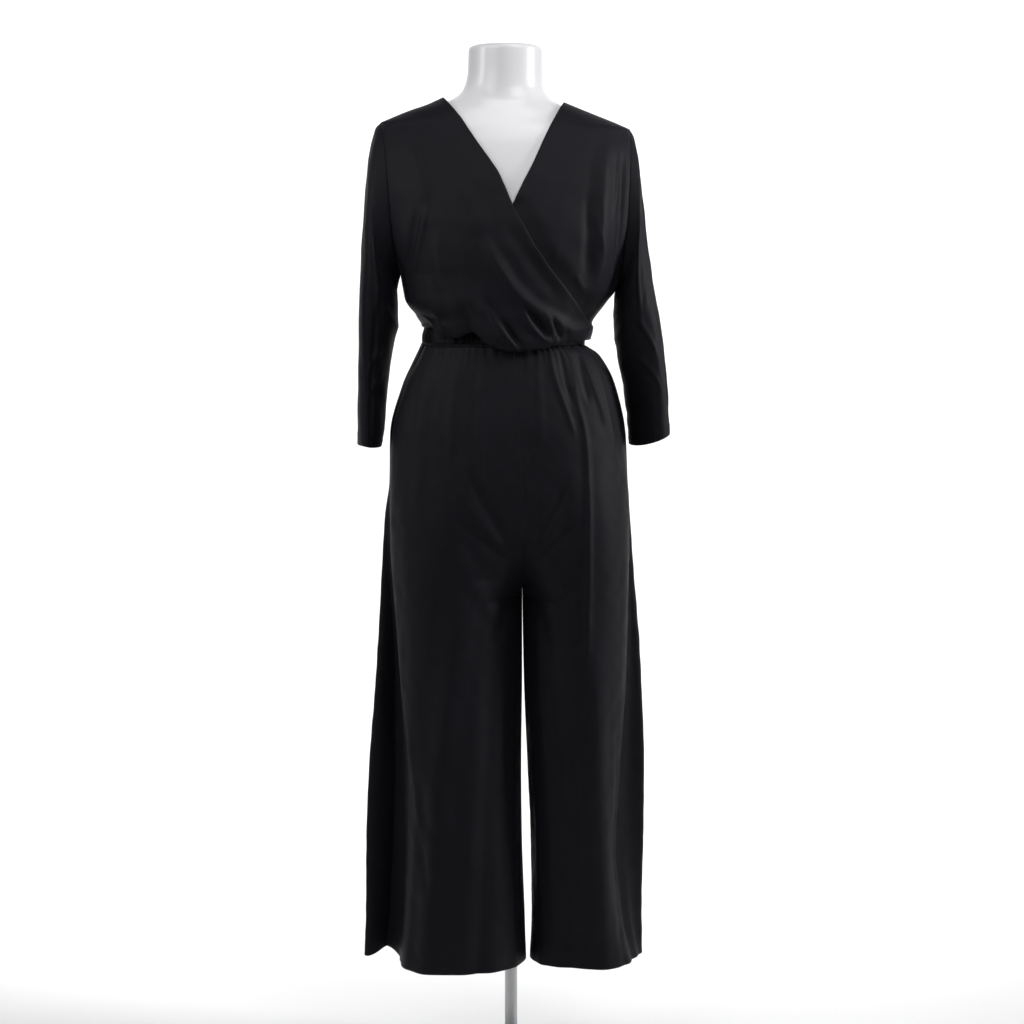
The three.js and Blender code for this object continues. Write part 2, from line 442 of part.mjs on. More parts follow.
// The line of one panel at a height, from the side seam to the centre seam or inseam
function panelLine(table, facing, z) {
  const side = Math.sign(table[0].side);
  const get = (name) => column(table, 'z', name, z);
  const lobe = THREE.MathUtils.smoothstep(LOBE_TOP_Z - z, 0, LOBE_TOP_Z - CROTCH_Z);
  const outermost = [get('side'), get('sideY')];
  const start = [get('side') - side * 1.5 * lobe, get('sideY') + SEAM_BACK * lobe];
  const depthName = facing < 0 ? 'front' : 'back';
  const reach = get(depthName);
  const roundness = mix(CASING_ROUNDNESS, BODY_ROUNDNESS, limit((TROUSER_TOP_Z - z) / 60, 0, 1));
  const middle = [get('middle'), reach];
  const angle = crotchAngle(z);
  const seamX = get('inner') + side * HALF_GAP;
  const end = [seamX, mix(centreDepth(depthName, z), INSEAM_Y, 1 - Math.cos(angle))];
  const backWall = [mix(get('side'), middle[0], 0.02), start[1] + BACK_WALL];
  const wall = facing < 0 ? [get('wall'), get('wallY')] : backWall;
  const points = [];
  if (facing < 0) {
    const tuck = [get('tuck'), get('tuckY')];
    const out = FOLD_EASE * Math.hypot(tuck[0] - outermost[0], tuck[1] - outermost[1]);
    const into = FOLD_EASE * Math.hypot(wall[0] - tuck[0], wall[1] - tuck[1]);
    const slant = [wall[0] - outermost[0], wall[1] - outermost[1]];
    const length = Math.hypot(...slant) || 1;
    const along = slant.map((value) => value / length);
    const straight = [tuck[0] - along[0] * out, tuck[1] - along[1] * out];
    const tip = [mix(tuck[0], outermost[0], 0.5), outermost[1] - 6];
    if (lobe > 0) points.push(start);
    const first = [outermost[0], outermost[1] - mix(out, LOBE_EASE, lobe)];
    const second = [mix(straight[0], tip[0], lobe), mix(straight[1], tip[1], lobe)];
    for (let i = 0; i < 12; i += 1) points.push(bezier(outermost, first, second, tuck, i / 12));
    const leaving = [tuck[0] + along[0] * into, tuck[1] + along[1] * into];
    const arriving = [wall[0], wall[1] + into];
    for (let i = 0; i < 8; i += 1) points.push(bezier(tuck, leaving, arriving, wall, i / 8));
  } else {
    for (let i = 0; i < 4; i += 1) {
      points.push(bezier(start, [start[0], start[1] + 6], [wall[0], wall[1] - 6], wall, i / 4));
    }
  }
  const steps = 20;
  for (let i = 0; i < steps; i += 1) {
    const turn = (i / steps) * Math.PI / 2;
    const exponent = 2 / roundness;
    points.push([
      middle[0] + (wall[0] - middle[0]) * Math.cos(turn) ** exponent,
      wall[1] + (reach - wall[1]) * Math.sin(turn) ** exponent,
    ]);
  }
  const across = seamX - middle[0];
  if (Math.abs(across) > 1) {
    const depth = end[1] - reach;
    const first = [middle[0] + 0.55 * across, reach];
    const second = [end[0] - 0.45 * Math.cos(angle) * across, end[1] - 0.55 * Math.sin(angle) * depth];
    for (let i = 0; i < steps; i += 1) points.push(bezier(middle, first, second, end, i / steps));
  }
  points.push(end);
  return alongLine(points);
}

function foldRise(folds, share, length, z) {
  let rise = 0;
  for (const fold of folds) {
    const down = (fold.top - z) / (fold.top - fold.bottom);
    if (down < 0 || down > 1) continue;
    const fromWaist = fold.top >= TROUSER_TOP_Z;
    const toHem = fold.bottom <= HEM_Z;
    const fadeIn = fromWaist ? 1 : Math.min(1, down / 0.35);
    const fadeOut = toHem ? 1 : Math.min(1, (1 - down) / 0.7);
    const centre = mix(fold.at, fold.foot, down);
    rise += fold.rise * fadeIn * fadeOut * bump(((share - centre) * length) / fold.width);
  }
  const fromEdge = Math.min(share, 1 - share) * length;
  return rise * limit(fromEdge / 14, 0, 1);
}

function hemLift(facing, share) {
  return facing < 0 ? 9 * bump((share - 0.17) / 0.09) : 0;
}

function trouserHeights() {
  const heights = [1112, 1099, 1084, 1062, 1036, 1002, 962, 922, 880];
  for (let i = 0; i <= 5; i += 1) {
    heights.push(CROTCH_CURVE_Z - (CROTCH_CURVE_Z - CROTCH_Z) * Math.sin((i / 5) * Math.PI / 2));
  }
  return [...heights, 700, 645, 580, 510, 440, 370, 300, 236, HEM_Z];
}

function trouserPanel(table, facing, folds) {
  const side = Math.sign(table[0].side);
  const outer = [];
  const inner = [];
  const step = 3;
  for (const z of trouserHeights()) {
    const line = panelLine(table, facing, z);
    const above = panelLine(table, facing, z + step);
    const below = panelLine(table, facing, z - step);
    const rowOuter = [];
    const rowInner = [];
    for (let i = 0; i <= TROUSER_COLUMNS; i += 1) {
      const share = (i / TROUSER_COLUMNS) ** (facing < 0 ? SIDE_CROWDING : 1);
      const usable = line.total - SEAM_GAP;
      const distance = HALF_GAP + share * usable;
      const [x, y] = line.at(distance);
      const [x0, y0] = line.at(distance - 1);
      const [x1, y1] = line.at(distance + 1);
      const up = above.at(share * above.total);
      const down = below.at(share * below.total);
      const across = new THREE.Vector3(x1 - x0, y1 - y0, 0);
      if (i === 0) across.set(0, facing, 0);
      const rising = new THREE.Vector3(up[0] - down[0], up[1] - down[1], 2 * step);
      const normal = across.cross(rising).normalize().multiplyScalar(side * facing);
      const rise = foldRise(folds, share, usable, z);
      const lift = side < 0 && z < 300 ? hemLift(facing, share) * (300 - z) / (300 - HEM_Z) : 0;
      const base = new THREE.Vector3(x, y, z + lift);
      normal.z = 0;
      normal.normalize();
      rowOuter.push(base.clone().addScaledVector(normal, rise));
      rowInner.push(base.clone().addScaledVector(normal, rise - CLOTH));
    }
    outer.push(rowOuter);
    inner.push(rowInner);
  }
  return wallGeometry(outer, inner, false);
}

// Body surface of the bodice

const centreAt = (z) => (edgeX(-1, z) + edgeX(1, z)) / 2;

// Side of the bodice at a height: side seam, armhole, then the shoulder line
function edgeX(side, z) {
  const [edge, shoulder, armhole] = side < 0
    ? [RIGHT_EDGE, RIGHT_SHOULDER, RIGHT_ARMHOLE] : [LEFT_EDGE, LEFT_SHOULDER, LEFT_ARMHOLE];
  return z <= armhole.top ? column(edge, 'z', 'x', z) : column(shoulder, 'z', 'x', z);
}

// Half the armhole's depth at a height
function armholeDepth(side, z) {
  const { bottom, top } = side < 0 ? RIGHT_ARMHOLE : LEFT_ARMHOLE;
  const t = (z - (bottom + top) / 2) / ((top - bottom) / 2);
  return Math.abs(t) < 1 ? ARMHOLE_DEPTH * Math.sqrt(1 - t * t) : 0;
}

// Share of the body's half width at which the bodice's edge lies: 1 where front meets back
function edgeShare(side, facing, z) {
  const depth = column(BODICE_DEPTH, 'z', facing < 0 ? 'front' : 'back', z);
  return 1 - (armholeDepth(side, z) / depth) ** BODY_ROUNDNESS;
}

function bodyDepth(x, z, facing) {
  const centre = centreAt(z);
  const side = x < centre ? -1 : 1;
  const s = Math.abs((x - centre) / (edgeX(side, z) - centre));
  const inside = Math.max(0, 1 - edgeShare(side, facing, z) * s ** BODY_ROUNDNESS);
  const depth = column(BODICE_DEPTH, 'z', facing < 0 ? 'front' : 'back', z);
  return facing * depth * inside ** (1 / BODY_ROUNDNESS);
}

function bodyMeasure(x, y, z, facing) {
  const centre = centreAt(z);
  const side = x < centre ? -1 : 1;
  const s = Math.abs((x - centre) / (edgeX(side, z) - centre));
  const depth = column(BODICE_DEPTH, 'z', facing < 0 ? 'front' : 'back', z);
  return edgeShare(side, facing, z) * s ** BODY_ROUNDNESS + Math.abs((y - MID_Y) / depth) ** BODY_ROUNDNESS;
}

function bodyPoint(x, z, facing) {
  return new THREE.Vector3(x, MID_Y + bodyDepth(x, z, facing), z);
}

// Outward direction of the body surface, the same for two pieces that meet
function bodyNormal(point, facing) {
  const step = 0.5;
  const measure = (dx, dy, dz) => bodyMeasure(point.x + dx, point.y + dy, point.z + dz, facing);
  const normal = new THREE.Vector3(
    measure(step, 0, 0) - measure(-step, 0, 0),
    measure(0, step, 0) - measure(0, -step, 0),
    (measure(0, 0, step) - measure(0, 0, -step)),
  );
  normal.z = limit(normal.z, -2 * Math.hypot(normal.x, normal.y), 2.4 * Math.hypot(normal.x, normal.y));
  return normal.normalize();
}

// The rolled lower edge of the blouson. It turns under, climbs outside the casing, passes over its
// upper rim and ends in the seam on top of it.
const SIDE_START_Z = { right: 1160, left: 1140 };
const RIM_TURN = 5 / 6;
const RIM_CLEARANCE = 5;
const RIM_LIFT = 2.8;

const droopAt = (x, facing) => column(facing < 0 ? FRONT_DROOP : BACK_DROOP, 'x', 'drop', x);
const startZ = (x, facing) => SIDE_START_Z.right - 1.05 * droopAt(x, facing);

// Outline of the casing in plan, taken in by an amount
function casingPoint(direction, inset) {
  const width = direction.x < 0 ? CASING_HALF.right : CASING_HALF.left;
  const depth = direction.y < 0 ? CASING_HALF.front : CASING_HALF.back;
  const size = (Math.abs(direction.x / width) ** CASING_ROUNDNESS
    + Math.abs(direction.y / depth) ** CASING_ROUNDNESS) ** (-1 / CASING_ROUNDNESS);
  const length = Math.hypot(direction.x, direction.y);
  return [direction.x * (size - inset / length), MID_Y + direction.y * (size - inset / length)];
}

// A point on the roll. x is where it leaves the bodice, turn runs from 0 there to 1 at the seam.
function rollPoint(x, facing, turn) {
  const z = startZ(x, facing);
  const start = bodyPoint(x, z, facing);
  const direction = { x: start.x, y: start.y - MID_Y };
  const [seamX, seamY] = casingPoint(direction, 4);
  const drop = droopAt(x, facing);
  const full = limit(drop / 30, 0, 1);
  const seam = [seamX, seamY, BODICE_SEAM_Z];
  const share = mix(0.15, 0.6, limit(3 * full, 0, 1));
  const lowZ = BODICE_SEAM_Z + 6 * (1 - full) ** 3 - drop;
  const low = [mix(seamX, start.x, share), mix(seamY, start.y, share), lowZ];
  const from = [start.x, start.y, z];
  const radial = [start.x - low[0], start.y - low[1]];
  const slack = 0.45 * (z - lowZ);
  const outward = [radial[0] * 0.75 * full, radial[1] * 0.75 * full];
  const inward = 0.3 * (1 - full);
  if (turn < 0.5) {
    const first = [from[0] - radial[0] * inward, from[1] - radial[1] * inward, z - slack];
    const second = [low[0] + outward[0], low[1] + outward[1], lowZ + 3 * (1 - full)];
    return new THREE.Vector3(...bezier(from, first, second, low, turn * 2));
  }
  const [rimX, rimY] = casingPoint(direction, mix(2.8, -RIM_CLEARANCE, limit(4 * full, 0, 1)));
  const rim = [rimX, rimY, BODICE_SEAM_Z + RIM_LIFT];
  const climb = (turn - 0.5) / (RIM_TURN - 0.5);
  if (climb > 1) {
    const t = (turn - RIM_TURN) / (1 - RIM_TURN);
    return new THREE.Vector3(mix(rimX, seamX, t), mix(rimY, seamY, t), mix(rim[2], seam[2], t));
  }
  const first = [mix(low[0], rimX, 0.5), mix(low[1], rimY, 0.5), mix(lowZ, rim[2], 0.08)];
  const second = [rimX, rimY, mix(lowZ, rim[2], 0.7)];
  return new THREE.Vector3(...bezier(low, first, second, rim, climb));
}

function rollNormal(x, facing, turn, side) {
  const step = 0.02;
  const width = 1.5;
  const before = rollPoint(x, facing, Math.max(0, turn - step));
  const after = rollPoint(x, facing, Math.min(1, turn + step));
  const left = rollPoint(x - width, facing, turn);
  const right = rollPoint(x + width, facing, turn);
  const across = side === 0 ? right.sub(left) : new THREE.Vector3(0, -side * facing, 0);
  return across.cross(after.sub(before)).normalize().multiplyScalar(facing);
}

// Outward direction of the cloth along an armhole, which faces down under the arm
function armholeNormal(point, facing, cosine) {
  const normal = bodyNormal(point, facing);
  const under = THREE.MathUtils.smoothstep(-cosine, 0.1, 1);
  return normal.multiplyScalar(1 - under).add(new THREE.Vector3(0, 0, -under)).normalize();
}

// Cosine of a height's angle around its armhole: 1 at the shoulder, -1 under the arm
function armholeCosine(side, z) {
  const { bottom, top } = side < 0 ? RIGHT_ARMHOLE : LEFT_ARMHOLE;
  return limit((2 * z - bottom - top) / (top - bottom), -1, 1);
}

// Bodice pieces

// Heights of a side's rows: side seam first, then even angles of the armhole
function sideHeights(side) {
  const { bottom, top } = side < 0 ? RIGHT_ARMHOLE : LEFT_ARMHOLE;
  const start = side < 0 ? SIDE_START_Z.right : SIDE_START_Z.left;
  const seam = [];
  for (let i = 0; i < SEAM_ROWS; i += 1) seam.push(mix(start, bottom, i / SEAM_ROWS));
  const armhole = [];
  for (let i = 0; i <= ARMHOLE_STEPS; i += 1) {
    armhole.push((bottom + top) / 2 - ((top - bottom) / 2) * Math.cos((i / ARMHOLE_STEPS) * Math.PI));
  }
  return [...seam, ...armhole];
}

function edgeLine(table) {
  const line = alongLine(table.map((row) => [row.x, row.z]));
  return (share) => line.at(share * line.total);
}

function lineFolds(folds, x, z) {
  let rise = 0;
  for (const fold of folds) {
    let best = Infinity;
    let along = 0;
    const steps = 16;
    for (let i = 0; i <= steps; i += 1) {
      const t = i / steps;
      const s = 1 - t;
      const px = s * s * fold.x0 + 2 * s * t * fold.xm + t * t * fold.x1;
      const pz = s * s * fold.z0 + 2 * s * t * fold.zm + t * t * fold.z1;
      const distance = Math.hypot(px - x, pz - z);
      if (distance < best) [best, along] = [distance, t];
    }
    rise += fold.rise * bump(best / fold.width) * Math.sin(Math.PI * limit(along, 0.12, 0.88)) ** 0.5;
  }
  return rise;
}

// How much of the underlap is covered at a place: 1 inside the overlap's edge, 0 well past it
function covered(x, z) {
  const edge = column(OVERLAP_EDGE, 'z', 'x', z);
  return 1 - THREE.MathUtils.smoothstep(x - edge, 12, 44);
}

// How much of the overlap lies on the underlap at a place
function covering(x, z) {
  const edge = column(UNDERLAP_EDGE, 'z', 'x', z);
  return THREE.MathUtils.smoothstep(x - edge, -34, -8) * THREE.MathUtils.smoothstep(1330 - z, 0, 14);
}

// Share of the way to the shoulders of a row, from its share of the rows
const crowded = (v) => 1 - (1 - v) ** TOP_CROWDING;

// Share of the way across of a front's column, from the side seam
function acrossFront(side, t) {
  return side > 0 ? t ** LAP_CROWDING.underlap : 1 - (1 - t) ** LAP_CROWDING.overlap;
}

const frontGrid = (side, edge, columns) => {
  const heights = sideHeights(side);
  const wrap = edgeLine(edge);
  const lowest = [edgeX(side, heights[0]), wrap(0)[0]];
  return heights.map((z, row) => {
    const v = row / (heights.length - 1);
    const [endX, endZ] = wrap(crowded(v));
    const startX = edgeX(side, z);
    const points = [];
    for (let i = 0; i <= columns; i += 1) {
      const u = acrossFront(side, i / columns);
      const x = mix(startX, endX, u);
      const lowX = mix(lowest[0], lowest[1], u);
      const slack = startZ(lowX, -1) - mix(heights[0], wrap(0)[1], u);
      const free = row === 0 || (i > 0 && i < columns);
      points.push([x, mix(z, endZ, u) + (free ? slack * (1 - v) ** 3 : 0)]);
    }
    return points;
  });
};

function backGrid() {
  const [right, left] = [sideHeights(-1), sideHeights(1)];
  const [lowRight, lowLeft] = [edgeX(-1, right[0]), edgeX(1, left[0])];
  const shoulder = 0.27;
  const top = (u) => {
    const [rightTip, leftTip] = [RIGHT_SHOULDER[0], LEFT_SHOULDER[0]];
    const [rightNeck, leftNeck] = [RIGHT_SHOULDER[3], LEFT_SHOULDER[3]];
    if (u <= shoulder) {
      const x = mix(rightTip.x, rightNeck.x, u / shoulder);
      return [x, column(RIGHT_SHOULDER, 'x', 'z', x)];
    }
    if (u >= 1 - shoulder) {
      const x = mix(leftTip.x, leftNeck.x, (1 - u) / shoulder);
      return [x, column(LEFT_SHOULDER, 'x', 'z', x)];
    }
    const t = (u - shoulder) / (1 - 2 * shoulder);
    const drop = BACK_NECK_DROP * (1 - (2 * t - 1) ** 4);
    return [mix(rightNeck.x, leftNeck.x, t), mix(rightNeck.z, leftNeck.z, t) - drop];
  };
  return right.map((rightZ, row) => {
    const v = crowded(row / (right.length - 1));
    const leftZ = left[row];
    const [startX, endX] = [edgeX(-1, rightZ), edgeX(1, leftZ)];
    const points = [];
    for (let i = 0; i <= BACK_COLUMNS; i += 1) {
      const u = i / BACK_COLUMNS;
      const low = mix(lowRight, lowLeft, u);
      const [topX, topZ] = top(u);
      const rightX = startX - mix(lowRight, RIGHT_SHOULDER[0].x, v);
      const leftX = endX - mix(lowLeft, LEFT_SHOULDER[0].x, v);
      const rightRise = rightZ - mix(right[0], RIGHT_SHOULDER[0].z, v);
      const leftRise = leftZ - mix(left[0], LEFT_SHOULDER[0].z, v);
      const x = mix(low, topX, v) + mix(rightX, leftX, u);
      const z = mix(startZ(low, 1), topZ, v) + mix(rightRise, leftRise, u);
      points.push([x, z]);
    }
    return points;
  });
}

// Pushes one point of the bodice's wall, moved out by its folds or in under the overlap
function bodiceWall(point, normal, rise, outerRow, innerRow) {
  outerRow.push(point.clone().addScaledVector(normal, rise));
  innerRow.push(point.clone().addScaledVector(normal, rise - CLOTH));
}

// A seam edge stands back half the gap from the seam
function standBack(point, facing, onSeam) {
  if (onSeam) point.y = MID_Y + facing * HALF_GAP;
  return point;
}

function bodicePiece(grid, facing, seams, riseAt) {
  const outer = [];
  const inner = [];
  const lastColumn = grid[0].length - 1;
  for (let step = ROLL_STEPS; step >= 1; step -= 1) {
    const [outerRow, innerRow] = [[], []];
    grid[0].forEach(([x], i) => {
      const side = i === 0 && seams.start ? seams.start : (i === lastColumn && seams.end ? seams.end : 0);
      const turn = step / ROLL_STEPS;
      const point = standBack(rollPoint(x, facing, turn), facing, side !== 0);
      const normal = rollNormal(x, facing, turn, side);
      bodiceWall(point, normal, riseAt(x, point.z, i / lastColumn, -turn), outerRow, innerRow);
    });
    outer.push(outerRow);
    inner.push(innerRow);
  }
  grid.forEach((row, r) => {
    const v = r / (grid.length - 1);
    const [outerRow, innerRow] = [[], []];
    row.forEach(([x, z], i) => {
      const side = i === 0 && seams.start ? seams.start : (i === lastColumn && seams.end ? seams.end : 0);
      const flat = bodyPoint(x, z, facing);
      const onSeam = Math.abs(flat.y - MID_Y) < 1 && (side !== 0 || r === grid.length - 1);
      const onArmhole = side !== 0 && r >= SEAM_ROWS;
      const cosine = armholeCosine(side, z);
      const normal = onArmhole ? armholeNormal(flat, facing, cosine) : bodyNormal(flat, facing);
      if (onSeam) {
        normal.y = 0;
        normal.normalize();
      }
      const point = standBack(flat, facing, onSeam);
      if (onArmhole) point.x -= side * ARMHOLE_SHIFT;
      bodiceWall(point, normal, riseAt(x, z, i / lastColumn, v), outerRow, innerRow);
    });
    outer.push(outerRow);
    inner.push(innerRow);
  });
  // Both fronts run the same way across, so that their faces are split alike where they lap
  if (seams.start > 0) [...outer, ...inner].forEach((row) => row.reverse());
  return wallGeometry(outer, inner, false);
}

const fadeAt = (u, v) => limit(u / 0.1, 0, 1) * limit((1 - v) / 0.08, 0, 1) * limit(1 + v * 1.2, 0, 1);

function overlapPanel() {
  return bodicePiece(frontGrid(-1, OVERLAP_EDGE, OVERLAP_COLUMNS), -1, { start: -1 }, (x, z, u, v) => {
    return lineFolds(OVERLAP_FOLDS, x, z) * fadeAt(u, v) + LAP_LIFT * covering(x, z) * limit(1 + v, 0, 1);
  });
}

function underlapPanel() {
  return bodicePiece(frontGrid(1, UNDERLAP_EDGE, UNDERLAP_COLUMNS), -1, { start: 1 }, (x, z, u, v) => {
    const free = limit(u / 0.08, 0, 1);
    const lap = LAP + LAP_ROLL * limit(-v, 0, 1) * limit(droopAt(x, -1) / 20, 0, 1);
    return lineFolds(UNDERLAP_FOLDS, x, z) * fadeAt(u, v) - lap * covered(x, z) * free;
  });
}

function backPanel() {
  return bodicePiece(backGrid(), 1, { start: -1, end: 1 }, (x, z, u, v) => {
    return lineFolds(BACK_FOLDS, x, z) * fadeAt(Math.min(u, 1 - u), v);
  });
}

// Sleeves

function sleeve(side, name, outerTable, innerTable) {
  const armhole = side < 0 ? RIGHT_ARMHOLE : LEFT_ARMHOLE;
  const outerEdge = edgeLine(outerTable);
  const innerEdge = edgeLine(innerTable);
  const count = 2 * ARMHOLE_STEPS;
  const middleZ = (armhole.bottom + armhole.top) / 2;
  const halfZ = (armhole.top - armhole.bottom) / 2;
  // angle 0 is the top or outer edge, a right angle is the front
  const surface = (angle, v) => {
    const [outX, outZ] = outerEdge(v);
    const [inX, inZ] = innerEdge(v);
    const cosine = Math.cos(angle);
    const sine = Math.sin(angle);
    const depth = mix(ARMHOLE_DEPTH, CUFF_DEPTH[name], v);
    const y = MID_Y - sine * depth;
    const headZ = middleZ + halfZ * cosine;
    const headX = edgeX(side, headZ) - mix(innerTable[0].x, outerTable[0].x, (cosine + 1) / 2);
    const x = mix(inX, outX, (cosine + 1) / 2) + headX * (1 - v) ** 4;
    const lean = SLEEVE_LEAN[name] * side * sine * depth * THREE.MathUtils.smoothstep(v, 0.25, 0.8);
    const fade = THREE.MathUtils.smoothstep(v, 0, 0.05) * (1 - v) ** 0.5;
    const clear = side * UNDERARM_CLEARANCE * sine * sine * fade;
    return new THREE.Vector3(x - lean + clear, y, mix(inZ, outZ, (cosine + 1) / 2));
  };
  const rise = (angle, v) => {
    let sum = 0;
    for (const fold of SLEEVE_FOLDS) {
      const t = (v - fold.from) / (fold.to - fold.from);
      if (t < 0 || t > 1) continue;
      const centre = THREE.MathUtils.degToRad(fold.angle + fold.turn * t);
      const fade = Math.min(1, t / 0.25) * (fold.to >= 1 ? 1 : Math.min(1, (1 - t) / 0.4));
      sum += fold.rise * fade * bump(((angle - centre) * 62) / fold.width);
    }
    return sum;
  };
  const outer = [];
  const inner = [];
  for (let row = 0; row <= SLEEVE_ROWS; row += 1) {
    const v = row / SLEEVE_ROWS;
    const [outerRow, innerRow] = [[], []];
    for (let i = 0; i < count; i += 1) {
      const angle = (i / count) * 2 * Math.PI;
      const point = surface(angle, v);
      let normal;
      if (row === 0) {
        const facing = Math.sin(angle) > 0 ? -1 : 1;
        normal = armholeNormal(point, facing, Math.cos(angle));
        if (i === 0 || i === ARMHOLE_STEPS) {
          normal.y = 0;
          normal.normalize();
        }
        point.x += side * ARMHOLE_SHIFT;
      } else {
        const step = 0.01;
        const around = surface(angle + step, v).sub(surface(angle - step, v));
        const along = surface(angle, Math.min(1, v + step)).sub(surface(angle, v - step));
        normal = around.cross(along).normalize().multiplyScalar(-side);
      }
      outerRow.push(point.clone().addScaledVector(normal, rise(angle, v)));
      innerRow.push(point.clone().addScaledVector(normal, rise(angle, v) - CLOTH));
    }
    outer.push(outerRow);
    inner.push(innerRow);
  }
  return wallGeometry(outer, inner, true, ARMHOLE_STEPS);
}

// Waist casing

function casing() {
  const profile = [
    { inset: CASING_WALL, z: CASING_BOTTOM_Z }, { inset: 0.6, z: CASING_BOTTOM_Z },
    { inset: -0.6, z: CASING_BOTTOM_Z + 0.5 * CASING_HEIGHT }, { inset: 0.6, z: CASING_TOP_Z },
    { inset: CASING_WALL, z: CASING_TOP_Z },
  ];
  const rows = (wanted) => wanted.map((entry) => {
    const row = [];
    for (let i = 0; i < CASING_COLUMNS; i += 1) {
      const angle = (i / CASING_COLUMNS) * 2 * Math.PI;
      const gather = entry.inset < CASING_WALL ? (i % 2) * 0.9 : 0;
      const [x, y] = casingPoint({ x: Math.cos(angle), y: Math.sin(angle) }, entry.inset + gather);
      row.push(new THREE.Vector3(x, y, entry.z));
    }
    return row;
  });
  const outer = rows(profile.slice(1, 4));
  const inner = rows([profile[0], { inset: CASING_WALL, z: profile[2].z }, profile[4]]);
  return wallGeometry(outer, inner, true);
}

// Dress form and stand

function formTorso() {
  const positions = [];
  const index = [];
  for (const row of FORM_SECTIONS) {
    for (let i = 0; i < FORM_COLUMNS; i += 1) {
      const angle = (i / FORM_COLUMNS) * 2 * Math.PI;
      const [cosine, sine] = [Math.cos(angle), Math.sin(angle)];
      const centre = (row.left + row.right) / 2;
      const half = (row.left - row.right) / 2;
      const depth = sine < 0 ? MID_Y - row.front : row.back - MID_Y;
      const exponent = 2 / row.power;
      positions.push(centre + half * power(cosine, exponent), MID_Y + depth * power(sine, exponent), row.z);
    }
  }
  const last = FORM_SECTIONS.length - 1;
  for (let row = 0; row < last; row += 1) {
    for (let i = 0; i < FORM_COLUMNS; i += 1) {
      const next = (i + 1) % FORM_COLUMNS;
      const [a, b] = [row * FORM_COLUMNS + i, row * FORM_COLUMNS + next];
      index.push(a, b, b + FORM_COLUMNS, a, b + FORM_COLUMNS, a + FORM_COLUMNS);
    }
  }
  for (const [row, sign] of [[0, -1], [last, 1]]) {
    const centre = positions.length / 3;
    const section = FORM_SECTIONS[row];
    positions.push((section.left + section.right) / 2, MID_Y, section.z);
    for (let i = 0; i < FORM_COLUMNS; i += 1) {
      const [a, b] = [row * FORM_COLUMNS + i, row * FORM_COLUMNS + ((i + 1) % FORM_COLUMNS)];
      if (sign > 0) index.push(centre, a, b);
      else index.push(centre, b, a);
    }
  }
  return facingOut(positions, index);
}

function turned(profile, sides) {
  const points = profile.map(([radius, z]) => new THREE.Vector2(radius, z));
  const geometry = new THREE.LatheGeometry(points, sides);
  geometry.rotateX(Math.PI / 2);
  geometry.deleteAttribute('normal');
  geometry.deleteAttribute('uv');
  return mergeVertices(geometry, 1e-3);
}

function standPole() {
  const bottom = BOSS_TOP_Z + SEAM_GAP;
  const top = FORM_SECTIONS[0].z - FORM_GAP - COLLAR_HEIGHT - SEAM_GAP;
  return turned([[0, bottom], [POLE_RADIUS, bottom], [POLE_RADIUS, top], [0, top]], 20);
}

function standCollar() {
  const top = FORM_SECTIONS[0].z - FORM_GAP;
  const bottom = top - COLLAR_HEIGHT;
  return turned([
    [0, bottom], [COLLAR_RADIUS - 6, bottom], [COLLAR_RADIUS - 4, bottom + 3], [COLLAR_RADIUS - 4, top - 9],
    [COLLAR_RADIUS + 3, top - 5], [COLLAR_RADIUS + 3, top], [0, top],
  ], 24);
}

function standBase() {
  const bevel = 0.3 * PLATE_EDGE;
  return turned([
    [0, 0], [PLATE_RADIUS - 1, 0], [PLATE_RADIUS, 1], [PLATE_RADIUS, PLATE_HEIGHT - PLATE_EDGE],
    [PLATE_RADIUS - bevel, PLATE_HEIGHT - bevel], [PLATE_RADIUS - PLATE_EDGE, PLATE_HEIGHT],
    [BOSS_RADIUS + 3, PLATE_HEIGHT], [BOSS_RADIUS, PLATE_HEIGHT + 3], [BOSS_RADIUS, BOSS_TOP_Z - 2],
    [BOSS_RADIUS - 2, BOSS_TOP_Z], [0, BOSS_TOP_Z],
  ], 48);
}

// Materials and the finished group

const finish = (color, roughness, metalness) => (
  () => new THREE.MeshStandardMaterial({ color, roughness, metalness })
);
const jersey = finish(0x1e1d22, 0.72, 0);
const formPlastic = finish(0xd9d9dc, 0.32, 0);
const steel = finish(0x8f9094, 0.3, 0.9);

const jumpsuit = new THREE.Group();

function add(name, geometry, material) {
  const mesh = new THREE.Mesh(geometry, material);
  mesh.name = name;
  jumpsuit.add(mesh);
}

add('bodice_front_right', overlapPanel(), jersey());
add('bodice_front_left', underlapPanel(), jersey());
add('bodice_back', backPanel(), jersey());
add('sleeve_right', sleeve(-1, 'right', RIGHT_SLEEVE_OUTER, RIGHT_SLEEVE_INNER), jersey());
add('sleeve_left', sleeve(1, 'left', LEFT_SLEEVE_OUTER, LEFT_SLEEVE_INNER), jersey());
add('waist_casing', casing(), jersey());
add('trouser_front_right', trouserPanel(RIGHT_LEG, -1, RIGHT_FRONT_FOLDS), jersey());
add('trouser_front_left', trouserPanel(LEFT_LEG, -1, LEFT_FRONT_FOLDS), jersey());
add('trouser_back_right', trouserPanel(RIGHT_LEG, 1, RIGHT_BACK_FOLDS), jersey());
add('trouser_back_left', trouserPanel(LEFT_LEG, 1, LEFT_BACK_FOLDS), jersey());
add('form_torso', formTorso(), formPlastic());
add('form_collar', standCollar(), steel());
add('stand_pole', standPole(), steel());
add('stand_base', standBase(), steel());

export default jumpsuit;
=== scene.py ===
"""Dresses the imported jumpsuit: fine folded jersey, hems, seams and stitches, the dress form and a
plain stage."""

import contextlib
import math

import bmesh
import bpy
import numpy as np
from bpy.props import FloatProperty, FloatVectorProperty, IntProperty, PointerProperty
from mathutils import Matrix, Vector


